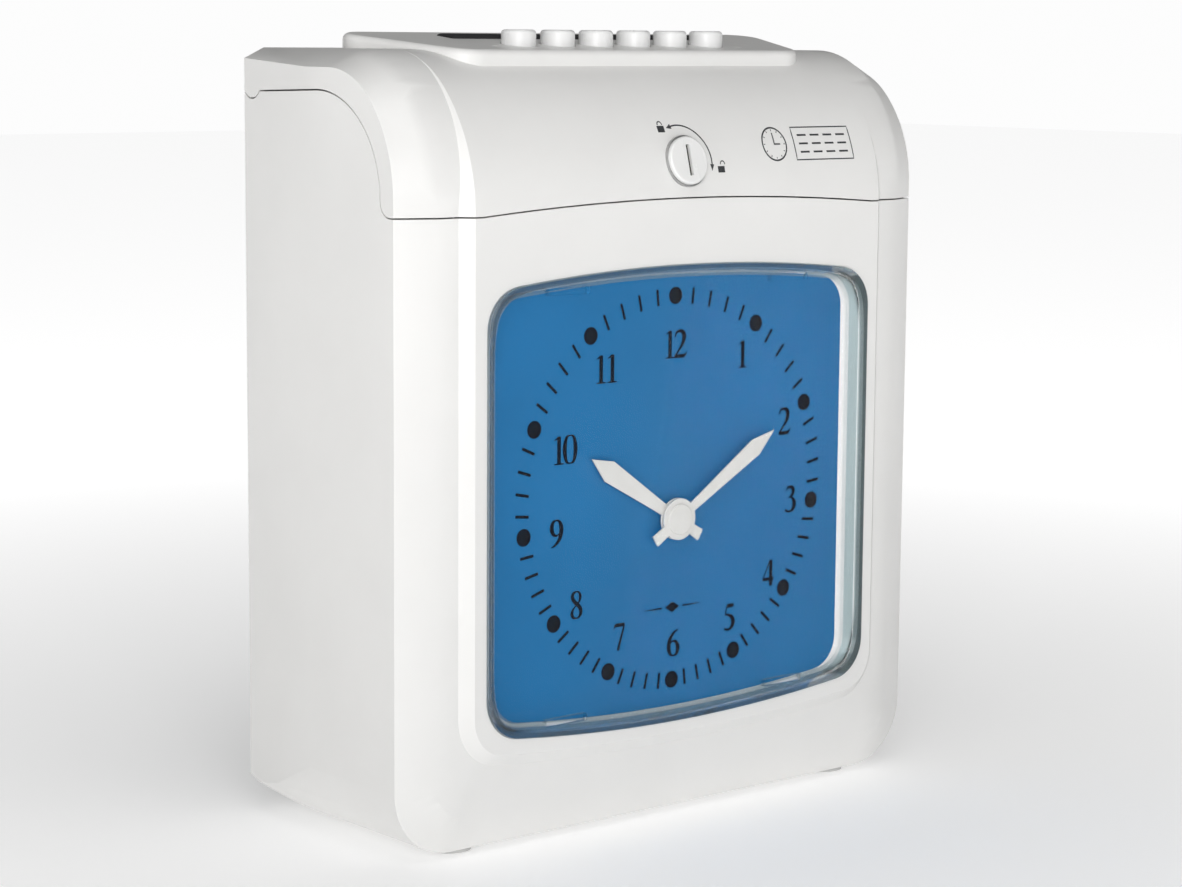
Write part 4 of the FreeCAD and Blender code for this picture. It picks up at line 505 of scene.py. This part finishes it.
# node: material, width in mm of its broken edges, and their segments
LOOKS = {
    "front_case": ("case_white", 0.8, 3), "top_cover": ("case_white", 0.5, 3),
    "keypad_panel": ("case_white", 0.25, 2), "card_throat": ("black_plastic", 0.3, 2),
    "key_board": ("circuit_board", 0.1, 1), "key_switches": ("black_plastic", 0.2, 2),
    "lock_sleeve": ("zinc", 0.2, 2), "lock_barrel": ("lock_white", 0.12, 2),
    "lock_cam": ("steel", 0.15, 2), "lock_strike": ("steel", 0.15, 2),
    "hinge_pins": ("turned_steel", 0.2, 2), "window_lens": ("clear_lens", 0.3, 2),
    "dial_plate": ("dial_blue", 0.1, 1), "dial_screws": ("steel", 0.2, 2),
    "clock_movement": ("black_plastic", 0.3, 2), "movement_nut": ("brass", 0.15, 2),
    "hour_hand": ("hand_white", 0.12, 2), "minute_hand": ("hand_white", 0.12, 2),
    "minute_arbor": ("hand_white", 0.12, 2), "feet": ("grey_rubber", 0.4, 3),
    "back_plate": ("steel", 0.2, 2), "rear_screws": ("steel", 0.25, 2),
    "wall_pads": ("rubber", 0.5, 3), "mechanism_frame": ("steel", 0.2, 2),
    "standoffs": ("brass", 0.2, 1), "mechanism_screws": ("steel", 0.25, 2),
    "card_guide_front": ("black_plastic", 0.2, 2), "card_guide_rear": ("black_plastic", 0.2, 2),
    "platen": ("rubber", 0.2, 2), "drive_shaft": ("turned_steel", 0.2, 1),
    "drive_rollers": ("rubber", 0.4, 2), "idler_roller": ("black_plastic", 0.3, 2),
    "feed_gear": ("gear_plastic", 0.1, 1), "feed_pinion": ("brass", 0.08, 1),
    "feed_motor": ("steel", 0.5, 3), "carriage_rods": ("turned_steel", 0.2, 1),
    "print_carriage": ("black_plastic", 0.3, 2), "print_head": ("print_head_alloy", 0.2, 2),
    "ribbon_cartridge": ("black_plastic", 0.4, 2), "ink_ribbon": ("ribbon_fabric", 0, 0),
    "ribbon_knob": ("gear_plastic", 0.3, 2), "drive_pulley": ("gear_plastic", 0.1, 1),
    "idler_pulley": ("gear_plastic", 0.1, 1), "carriage_belt": ("belt_rubber", 0.15, 1),
    "carriage_motor": ("steel", 0.5, 3), "main_board": ("circuit_board", 0.1, 1),
    "processor_chip": ("black_plastic", 0.15, 2), "board_components": ("black_plastic", 0.25, 2),
    "transformer_core": ("steel_core", 0.3, 2), "transformer_coil": ("copper_coil", 0.6, 3),
    "backup_battery": ("battery_wrap", 0.5, 3), "power_inlet": ("black_plastic", 0.4, 2),
    "bell_terminals": ("terminal_plastic", 0.2, 2),
}
for i in range(1, 7):
    LOOKS[f"key_{i}"] = ("key_white", 0.2, 2)
for node_name, (look, edge, steps) in LOOKS.items():
    dress(node_name, look, edge, steps)


# -------------------------------------------------------------------- mesh helpers
def mesh_piece(name, bm, look, body):
    """Turn a bmesh in millimetres into a piece that rides on a body."""
    bmesh.ops.scale(bm, vec=(MM, MM, MM), verts=bm.verts)
    bmesh.ops.recalc_face_normals(bm, faces=bm.faces)
    me = bpy.data.meshes.new(name)
    bm.to_mesh(me)
    bm.free()
    o = bpy.data.objects.new(name, me)
    bpy.context.scene.collection.objects.link(o)
    me.materials.append(material(look))
    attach(o, body)


def print_shape(bm, points, y0, y1):
    """Closed flat shape in the XZ plane from y0 to y1; points run round its outline."""
    near_side = [bm.verts.new((x, y0, z)) for x, z in points]
    far_side = [bm.verts.new((x, y1, z)) for x, z in points]
    bm.faces.new(near_side)
    bm.faces.new(far_side[::-1])
    n = len(points)
    for i in range(n):
        j = (i + 1) % n
        bm.faces.new((near_side[j], near_side[i], far_side[i], far_side[j]))


def ribbon(bm, centre, widths, y0, y1, closed=False):
    """Stroke of changing width along a centre line, as a closed solid."""
    left, right = [], []
    n = len(centre)
    for i in range(n):
        if closed:
            a, b = centre[i - 1], centre[(i + 1) % n]
        else:
            a, b = centre[max(i - 1, 0)], centre[min(i + 1, n - 1)]
        dx, dz = b[0] - a[0], b[1] - a[1]
        size = math.hypot(dx, dz) or 1.0
        nx, nz = -dz / size, dx / size
        w = widths[i]
        left.append((centre[i][0] + nx * w, centre[i][1] + nz * w))
        right.append((centre[i][0] - nx * w, centre[i][1] - nz * w))
    rows = []
    for (lx, lz), (rx, rz) in zip(left, right):
        corners = ((lx, y0, lz), (rx, y0, rz), (rx, y1, rz), (lx, y1, lz))
        rows.append([bm.verts.new(p) for p in corners])
    spans = range(n) if closed else range(n - 1)
    for i in spans:
        a, b = rows[i], rows[(i + 1) % n]
        for k in range(4):
            m = (k + 1) % 4
            bm.faces.new((a[k], a[m], b[m], b[k]))
    if not closed:
        bm.faces.new(rows[0][::-1])
        bm.faces.new(rows[-1])


def spline(knots, steps=8, closed=False):
    """Catmull-Rom curve through (x, z, half width) knots."""
    n = len(knots)
    out = []
    for i in range(n if closed else n - 1):
        if closed:
            p = [knots[(i + k) % n] for k in (-1, 0, 1, 2)]
        else:
            p = [knots[min(max(i + k, 0), n - 1)] for k in (-1, 0, 1, 2)]
        for s in range(steps):
            t = s / steps
            out.append(tuple(
                0.5 * (2 * b + (c - a) * t + (2 * a - 5 * b + 4 * c - d) * t * t
                       + (3 * b - a - 3 * c + d) * t ** 3)
                for a, b, c, d in zip(*p)))
    if not closed:
        out.append(tuple(knots[-1]))
    return out


def disc_points(x, z, r, n=40):
    """Outline of a disc with n corners."""
    return [(x + r * math.cos(2 * math.pi * i / n), z + r * math.sin(2 * math.pi * i / n))
            for i in range(n)]


# ------------------------------------------------------------------- dial printing
INK_BACK = DIAL_FACE + 0.01
INK_FRONT = DIAL_FACE - 0.05
RING_R = 64.75           # radius of the ring that carries the dots
RING_RISE = 9.75         # the ring's centre is this far above the hands' arbor
HOUR_DOT_R = 2.9
BAR_HALF_LONG, BAR_HALF_WIDE = 2.75, 0.50


def ring_point(degrees):
    """Point of the dot ring seen from the arbor at this clock angle, and its bearing."""
    t = math.radians(degrees)
    s = RING_RISE * math.sin(t)
    r = RING_RISE * math.cos(t) + math.sqrt(RING_R ** 2 - s * s)
    return r * math.sin(t), HUB_Z + r * math.cos(t), t


def minute_marks():
    """A dot at each hour and a short radial bar at every other minute."""
    bm = bmesh.new()
    corners = [(BAR_HALF_LONG, BAR_HALF_WIDE), (BAR_HALF_LONG, -BAR_HALF_WIDE),
               (-BAR_HALF_LONG, -BAR_HALF_WIDE), (-BAR_HALF_LONG, BAR_HALF_WIDE)]
    for minute in range(60):
        x, z, t = ring_point(minute * 6)
        if minute % 5 == 0:
            print_shape(bm, disc_points(x, z, HOUR_DOT_R), INK_FRONT, INK_BACK)
            continue
        ux, uz = math.sin(t), math.cos(t)
        vx, vz = uz, -ux
        print_shape(bm, [(x + a * ux + b * vx, z + a * uz + b * vz) for a, b in corners],
                    INK_FRONT, INK_BACK)
    mesh_piece("dial_minute_marks", bm, "print_black", "case")


# Old style serif figures, one unit high.  A stroke is a list of (x, z, half width).
FIGURES = {
    "0": [("loop", [(0.0, 0.985, 0.016), (-0.17, 0.90, 0.045), (-0.245, 0.5, 0.068),
                    (-0.17, 0.10, 0.045), (0.0, 0.015, 0.016), (0.17, 0.10, 0.045),
                    (0.245, 0.5, 0.068), (0.17, 0.90, 0.045)])],
    "1": [("line", [(0.02, 0.02, 0.062), (0.02, 0.5, 0.062), (0.02, 0.985, 0.062)]),
          ("line", [(-0.19, 0.86, 0.012), (-0.07, 0.915, 0.022), (0.03, 0.965, 0.030)]),
          ("line", [(-0.19, 0.018, 0.017), (0.02, 0.020, 0.022), (0.23, 0.018, 0.017)])],
    "2": [("line", [(-0.26, 0.74, 0.020), (-0.20, 0.90, 0.030), (-0.03, 0.955, 0.045),
                    (0.13, 0.88, 0.066), (0.165, 0.70, 0.070), (0.09, 0.48, 0.050),
                    (-0.10, 0.24, 0.028), (-0.27, 0.055, 0.022)]),
          ("line", [(-0.28, 0.052, 0.050), (0.0, 0.052, 0.052), (0.20, 0.055, 0.052)]),
          ("line", [(0.20, 0.07, 0.045), (0.265, 0.13, 0.026), (0.295, 0.22, 0.012)])],
    "3": [("line", [(-0.22, 0.80, 0.018), (-0.14, 0.93, 0.030), (0.0, 0.955, 0.045),
                    (0.13, 0.86, 0.062), (0.11, 0.68, 0.050), (-0.02, 0.575, 0.024),
                    (-0.10, 0.55, 0.014)]),
          ("line", [(-0.06, 0.565, 0.014), (0.07, 0.535, 0.030), (0.185, 0.40, 0.068),
                    (0.175, 0.18, 0.062), (0.02, 0.045, 0.034), (-0.13, 0.035, 0.030),
                    (-0.215, 0.085, 0.036)]),
          ("dot", [(-0.215, 0.095, 0.052)])],
    "4": [("line", [(0.115, 0.01, 0.060), (0.115, 0.5, 0.060), (0.115, 0.985, 0.060)]),
          ("line", [(0.08, 0.97, 0.018), (-0.11, 0.62, 0.018), (-0.29, 0.295, 0.018)]),
          ("line", [(-0.305, 0.275, 0.046), (0.0, 0.275, 0.046), (0.265, 0.275, 0.046)])],
    "5": [("line", [(-0.11, 0.925, 0.056), (0.06, 0.925, 0.056), (0.215, 0.935, 0.044)]),
          ("line", [(-0.115, 0.955, 0.018), (-0.165, 0.77, 0.020), (-0.205, 0.60, 0.022)]),
          ("line", [(-0.20, 0.605, 0.016), (-0.03, 0.575, 0.040), (0.135, 0.465, 0.062),
                    (0.185, 0.29, 0.070), (0.115, 0.12, 0.055), (-0.04, 0.035, 0.032),
                    (-0.20, 0.055, 0.034)]),
          ("dot", [(-0.215, 0.072, 0.046)])],
    "6": [("line", [(0.24, 0.975, 0.012), (0.06, 0.905, 0.034), (-0.13, 0.71, 0.055),
                    (-0.215, 0.46, 0.068), (-0.205, 0.24, 0.066), (-0.12, 0.075, 0.040),
                    (0.02, 0.022, 0.020)]),
          ("line", [(-0.19, 0.44, 0.014), (-0.04, 0.565, 0.024), (0.13, 0.52, 0.050),
                    (0.215, 0.32, 0.066), (0.16, 0.10, 0.048), (0.01, 0.022, 0.018)])],
    "7": [("line", [(-0.20, 0.930, 0.050), (0.0, 0.930, 0.052), (0.235, 0.930, 0.050)]),
          ("line", [(-0.20, 0.945, 0.030), (-0.245, 0.85, 0.018), (-0.265, 0.78, 0.010)]),
          ("line", [(0.225, 0.93, 0.026), (0.14, 0.66, 0.032), (0.03, 0.33, 0.038),
                    (-0.065, 0.01, 0.044)])],
    "8": [("line", [(0.01, 0.978, 0.018), (-0.135, 0.925, 0.042), (-0.185, 0.785, 0.056),
                    (-0.095, 0.625, 0.056), (0.065, 0.49, 0.058), (0.185, 0.335, 0.060),
                    (0.195, 0.17, 0.050), (0.10, 0.05, 0.030), (0.0, 0.022, 0.018)]),
          ("line", [(0.0, 0.022, 0.018), (-0.14, 0.06, 0.040), (-0.205, 0.21, 0.050),
                    (-0.13, 0.375, 0.026), (0.02, 0.51, 0.018), (0.135, 0.64, 0.030),
                    (0.17, 0.80, 0.046), (0.11, 0.935, 0.030), (0.01, 0.978, 0.018)])],
}


def turned(strokes):
    """The same strokes upside down: a six becomes a nine."""
    return [(kind, [(-x, 1.0 - z, w) for x, z, w in pts]) for kind, pts in strokes]


FIGURES["9"] = turned(FIGURES["6"])
BOLD = 1.32              # weight of the figures
LAYER = 0.004            # each further stroke stands this much prouder, so that none lie level


def figure(bm, char, x, z, size):
    """One digit with its middle at x and its foot at z, size mm high."""
    for layer, (kind, knots) in enumerate(FIGURES[char]):
        y0 = INK_FRONT - LAYER * layer
        if kind == "dot":
            (cx, cz, r), = knots
            print_shape(bm, disc_points(x + cx * size, z + cz * size, r * size, 20), y0, INK_BACK)
            continue
        pts = spline(knots, 8, kind == "loop")
        centre = [(x + px * size, z + pz * size) for px, pz, _ in pts]
        ribbon(bm, centre, [w * size * BOLD for _, _, w in pts], y0, INK_BACK, kind == "loop")


# x and height of the middle of each hour's figure
NUMERALS = {
    12: (0.0, 159.6), 1: (30.5, 154.3), 2: (50.7, 129.9), 3: (54.2, 102.4), 4: (44.3, 77.5),
    5: (26.2, 64.3), 6: (0.7, 58.6), 7: (-23.2, 63.7), 8: (-41.8, 76.7), 9: (-50.4, 101.1),
    10: (-47.3, 128.2), 11: (-29.8, 153.3),
}
NUMERAL_SIZE = 9.3
DIGIT_PITCH = 0.52 * NUMERAL_SIZE


def numerals():
    """The hours 1 to 12, each a piece of its own."""
    for hour, (x, z) in NUMERALS.items():
        bm = bmesh.new()
        text = str(hour)
        for i, char in enumerate(text):
            offset = (i - (len(text) - 1) / 2) * DIGIT_PITCH
            figure(bm, char, x + offset, z - NUMERAL_SIZE / 2, NUMERAL_SIZE)
        mesh_piece(f"dial_numeral_{hour}", bm, "print_black", "case")


def ornament():
    """Small generic printed device below the hands: a lozenge between two rules."""
    bm = bmesh.new()
    z, half_w, half_h = 71.0, 3.2, 1.9
    rule_start, rule_end, thick, thin = 4.6, 12.6, 0.35, 0.12
    lozenge = [(-half_w, z), (0, z + half_h), (half_w, z), (0, z - half_h)]
    print_shape(bm, lozenge, INK_FRONT, INK_BACK)
    for side in (1, -1):
        rule = [(side * rule_start, z + thick), (side * rule_end, z + thin),
                (side * rule_end, z - thin), (side * rule_start, z - thick)]
        print_shape(bm, rule if side > 0 else rule[::-1], INK_FRONT, INK_BACK)
    mesh_piece("dial_ornament", bm, "print_black", "case")


minute_marks()
numerals()
ornament()


# ------------------------------------------------------------- printing on the lid
LID_MESH = NODES["top_cover"].data
LID_TREE = BVHTree.FromPolygons([v.co for v in LID_MESH.vertices],
                                [p.vertices for p in LID_MESH.polygons])
LOCK_Z = 220.0           # height of the lock's face
LOCK_TILT = math.radians(-14.7)
LOCK_Y = at(-1.5)        # the lock's face, mm
RAY_START_Y = -80.0      # ahead of every part of the lid, mm


def lid_front(x, z):
    """Y in mm of the lid's front surface at this place."""
    hit = LID_TREE.ray_cast(Vector((x, RAY_START_Y, z)) * MM, Vector((0, 1, 0)))
    return hit[0].y / MM


def settle(bm, ink=0.03, sink=0.03):
    """Lay a print, drawn from y 0 (front) to y 1 (rear), on the lid's surface."""
    for v in bm.verts:
        skin = lid_front(v.co.x, v.co.z)
        v.co.y = skin - ink if v.co.y < 0.5 else skin + sink
    return bm


def arc_line(cx, cz, r, start, stop, steps=36):
    """Points along a circle, angles in degrees counted from +X."""
    out = []
    for i in range(steps + 1):
        a = math.radians(start + (stop - start) * i / steps)
        out.append((cx + r * math.cos(a), cz + r * math.sin(a)))
    return out


def stroke(bm, points, width, closed=False):
    """Printed line of even width."""
    ribbon(bm, points, [width / 2] * len(points), 0.0, 1.0, closed)


def straight(a, b, steps=8):
    """Points along a straight line."""
    return [(a[0] + (b[0] - a[0]) * i / steps, a[1] + (b[1] - a[1]) * i / steps)
            for i in range(steps + 1)]


def frame_line(cx, cz, half_w, half_h):
    """Closed rectangle, with enough points to follow a curved surface."""
    c = [(cx - half_w, cz - half_h), (cx + half_w, cz - half_h), (cx + half_w, cz + half_h),
         (cx - half_w, cz + half_h)]
    out = []
    for i in range(4):
        out += straight(c[i], c[(i + 1) % 4])[:-1]
    return out


def lock_legend():
    """Arc with an arrow at each end, and a closed and an open padlock."""
    bm = bmesh.new()
    r, start, stop = 11.6, 104.0, -6.0
    head_half, head_long = 0.85, 2.2
    body_half, body_low, body_high, shackle_r, shackle_z = 1.5, 1.2, 0.9, 0.95, 1.3
    stroke(bm, arc_line(0, LOCK_Z, r, start, stop), 0.48)
    for degrees, way in ((start, 1), (stop, -1)):
        a = math.radians(degrees)
        px, pz = r * math.cos(a), LOCK_Z + r * math.sin(a)
        tx, tz = -math.sin(a) * way, math.cos(a) * way
        nx, nz = math.cos(a), math.sin(a)
        head = [(px + nx * head_half, pz + nz * head_half),
                (px + tx * head_long, pz + tz * head_long),
                (px - nx * head_half, pz - nz * head_half)]
        print_shape(bm, head, 0.0, 1.0)
    for cx, cz, lift in ((-7.3, 230.6, 0.0), (15.4, 217.2, 0.8)):
        print_shape(bm, [(cx - body_half, cz - body_low), (cx + body_half, cz - body_low),
                         (cx + body_half, cz + body_high), (cx - body_half, cz + body_high)],
                    0.0, 1.0)
        shackle = arc_line(cx + lift, cz + shackle_z + lift * 0.4, shackle_r, 190, -10, 14)
        stroke(bm, shackle, 0.38)
    mesh_piece("lock_legend", settle(bm), "print_grey", "lid")


def card_pictogram():
    """Clock face and time card, standing for the machine's use."""
    bm = bmesh.new()
    cx, cz, r = 41.5, 224.8, 5.4
    tail, minute_reach, hour_reach, hand_wide = 0.2, 3.7, 2.7, 0.50
    stroke(bm, arc_line(cx, cz, r, 0, 360, 48)[:-1], 0.55, True)
    stroke(bm, straight((cx, cz - tail), (cx, cz + minute_reach)), hand_wide)
    stroke(bm, straight((cx - tail, cz), (cx + hour_reach, cz)), hand_wide)
    for hour in range(12):
        a = math.radians(30 * hour)
        inner, outer = r - 1.15, r - 0.55
        stroke(bm, straight((cx + inner * math.cos(a), cz + inner * math.sin(a)),
                            (cx + outer * math.cos(a), cz + outer * math.sin(a)), 2), 0.28)
    card_x, half_w, half_h = 64.2, 13.5, 5.4
    row_pitch, column_pitch, margin, dash = 2.8, 6.1, 2.3, 4.2
    stroke(bm, frame_line(card_x, cz, half_w, half_h), 0.42, True)
    for row in range(3):
        z = cz + row_pitch * (1 - row)
        for column in range(4):
            x0 = card_x - half_w + margin + column_pitch * column
            stroke(bm, straight((x0, z), (x0 + dash, z), 4), 0.62)
    mesh_piece("card_pictogram", settle(bm), "print_grey", "lid")


def turn_with_lock(bm):
    """Tilt a piece that was built square to -Y onto the leaning lid face."""
    middle = Vector((0, LOCK_Y, LOCK_Z))
    bmesh.ops.rotate(bm, cent=middle, matrix=Matrix.Rotation(LOCK_TILT, 3, "X"), verts=bm.verts)
    return bm


def keyway_wafers():
    """Metal wafers one behind the other inside the keyway, coloured near-black as painted shade
    of the deep keyway.
    """
    bm = bmesh.new()
    half_w, half_h = 0.76, 5.1
    count, ahead, pitch, thick, step = 7, 1.1, 0.9, 0.6, 0.25
    for i in range(count):
        y0 = LOCK_Y - ahead + pitch * i
        drop = step * (i % 3)
        print_shape(bm, [(-half_w, LOCK_Z - half_h), (half_w, LOCK_Z - half_h),
                         (half_w, LOCK_Z + half_h - drop), (-half_w, LOCK_Z + half_h - drop)],
                    y0, y0 + thick)
    mesh_piece("keyway_wafers", turn_with_lock(bm), "painted_shade_metal", "lock")


def lock_rim():
    """Thin turned ring round the lock face."""
    bm = bmesh.new()
    inner, outer, steps = 8.04, 8.55, 72
    ahead, behind = 0.75, 0.6
    stroke(bm, arc_line(0, LOCK_Z, (inner + outer) / 2, 0, 360, steps)[:-1], outer - inner, True)
    for v in bm.verts:
        v.co.y = LOCK_Y - ahead if v.co.y < 0.5 else LOCK_Y + behind
    mesh_piece("lock_rim", turn_with_lock(bm), "zinc", "lid")


# ------------------------------------------------------------------ painted shade in the screw recesses
REAR_Y = at(94.75)       # rear face of the back plate, mm
# half spacing in x, heights, height of the head above the plate, half length of the cross
REAR_SCREWS = [
    (99, (30, 125, 222), 1.6, 1.7),
    (70, (84, 214), 1.4, 1.5),
    (62, (58, 160), 1.4, 1.5),
]
CROSS_DEPTH, CROSS_PROUD = 0.3, 0.02


def cross(bm, x, z, y0, y1, arm, bar=0.32):
    """Plus sign between two depths, as on a cross-head screw."""
    points = [(-bar, -arm), (bar, -arm), (bar, -bar), (arm, -bar), (arm, bar), (bar, bar),
              (bar, arm), (-bar, arm), (-bar, bar), (-arm, bar), (-arm, -bar), (-bar, -bar)]
    print_shape(bm, [(x + px, z + pz) for px, pz in points], y0, y1)


def screw_recesses():
    """Dark crosses in the heads of the screws on the back: painted shade of their cross recesses.
    """
    bm = bmesh.new()
    for half_x, heights, head, arm in REAR_SCREWS:
        top = REAR_Y + head
        for x in (-half_x, half_x):
            for z in heights:
                # painted shade: a near-black cross stands a little proud of each head where the
                # recess would be shaded
                cross(bm, x, z, top - CROSS_DEPTH, top + CROSS_PROUD, arm)
    mesh_piece("rear_screw_recess_shade", bm, "painted_shade_metal", "case")


lock_legend()
card_pictogram()
keyway_wafers()
lock_rim()
screw_recesses()


# ------------------------------------------------------------------ studio and camera
def floor_material():
    """Pale matt board that glows as painted light, more strongly away from the object, so it is
    darker round the object as painted shade.
    """
    s = Shade("floor", (0.80, 0.80, 0.80), 0.9)
    s.set("Specular IOR Level", 0.1)
    s.set("Emission Color", (1.0, 1.0, 1.0, 1.0))
    # painted light: emission grows with distance from the object, which leaves painted shade
    # round it
    away = s.add("ShaderNodeVectorMath", operation="LENGTH")
    s.join(s.place, away.inputs[0])
    painted_floor_glow = s.ramp(away.outputs["Value"], 0.12, 0.80, 0.34, 0.82)
    s.join(painted_floor_glow, s.skin.inputs["Emission Strength"])
    s.bump(s.noise(1.5, 3), 0.02)
    return s.mat


FLOOR_HALF = 6.0         # m
AHEAD = (0.64, 0.76, 0.0)   # direction in which the backdrop stands
BASE_SKY, BACKDROP = 0.14, 0.84   # strength of the room and of the backdrop
CAMERA_PLACE = (-0.63815, -0.75905, 0.25989)   # m
CAMERA_TURN = (0.700, 0.1388, 0.0073)   # yaw, pitch and roll, radians
LENS, SENSOR = 88.53, 36.0   # mm
# name, place and aim in metres, width, height, watts
LIGHTS = [
    ("key_light", (-1.25, -1.65, 0.60), (0, 0, 0.13), 1.2, 1.2, 22.0),
    ("left_light", (-2.1, -0.55, 0.45), (0, 0, 0.13), 1.0, 1.2, 5.5),
    ("right_light", (0.9, -2.0, 0.45), (0, 0, 0.12), 1.0, 1.4, 1.5),
    ("top_light", (-0.5, -0.7, 1.9), (0, 0, 0.2), 1.0, 1.0, 7.5),
]


def floor_piece():
    """Wide floor under the feet."""
    me = bpy.data.meshes.new("floor")
    h = FLOOR_HALF
    me.from_pydata([(-h, -h, 0), (h, -h, 0), (h, h, 0), (-h, h, 0)], [], [(0, 1, 2, 3)])
    floor = bpy.data.objects.new("floor", me)
    bpy.context.scene.collection.objects.link(floor)
    me.materials.append(floor_material())


def studio_world():
    """Even dim room with a pale backdrop behind the object."""
    world = bpy.data.worlds.new("studio")
    bpy.context.scene.world = world
    world.use_nodes = True
    tree = world.node_tree
    sky = tree.nodes["Background"]
    coord = tree.nodes.new("ShaderNodeTexCoord")
    towards = tree.nodes.new("ShaderNodeVectorMath")
    towards.operation = "DOT_PRODUCT"
    towards.inputs[1].default_value = AHEAD
    fade = map_range(tree, 0.55, 0.85, 0.0, BACKDROP)
    fade.interpolation_type = "SMOOTHSTEP"
    # the backdrop is low, so that it does not light the top of the object
    split = tree.nodes.new("ShaderNodeSeparateXYZ")
    low = map_range(tree, 0.05, 0.16, 1.0, 0.0)
    shape = tree.nodes.new("ShaderNodeMath")
    shape.operation = "MULTIPLY"
    total = tree.nodes.new("ShaderNodeMath")
    total.operation = "ADD"
    total.inputs[1].default_value = BASE_SKY
    tree.links.new(coord.outputs["Generated"], towards.inputs[0])
    tree.links.new(coord.outputs["Generated"], split.inputs[0])
    tree.links.new(towards.outputs["Value"], fade.inputs["Value"])
    tree.links.new(split.outputs["Z"], low.inputs["Value"])
    tree.links.new(fade.outputs[0], shape.inputs[0])
    tree.links.new(low.outputs[0], shape.inputs[1])
    tree.links.new(shape.outputs[0], total.inputs[0])
    tree.links.new(total.outputs[0], sky.inputs["Strength"])
    sky.inputs["Color"].default_value = (1.0, 1.0, 1.0, 1.0)


def area_light(name, place, target, width, height, power):
    """Soft box at place, turned towards target."""
    data = bpy.data.lights.new(name, "AREA")
    data.shape = "RECTANGLE"
    data.size = width
    data.size_y = height
    data.energy = power
    o = bpy.data.objects.new(name, data)
    bpy.context.scene.collection.objects.link(o)
    o.location = place
    o.rotation_euler = (Vector(target) - Vector(place)).to_track_quat("-Z", "Y").to_euler()


def camera():
    """Long lens, seen from the front left, a little from above."""
    yaw, pitch, roll = CAMERA_TURN
    ahead = Vector((math.sin(yaw) * math.cos(pitch), math.cos(yaw) * math.cos(pitch),
                    -math.sin(pitch)))
    right = Vector((math.cos(yaw), -math.sin(yaw), 0.0))
    up = right.cross(ahead)
    right, up = (right * math.cos(roll) + up * math.sin(roll),
                 up * math.cos(roll) - right * math.sin(roll))
    data = bpy.data.cameras.new("camera")
    data.sensor_width = SENSOR
    data.lens = LENS
    cam = bpy.data.objects.new("camera", data)
    bpy.context.scene.collection.objects.link(cam)
    turn = Matrix((right, up, -ahead)).transposed().to_4x4()
    cam.matrix_world = Matrix.Translation(CAMERA_PLACE) @ turn
    bpy.context.scene.camera = cam


floor_piece()
studio_world()
for light in LIGHTS:
    area_light(*light)
camera()
bpy.context.scene.view_settings.view_transform = "Standard"
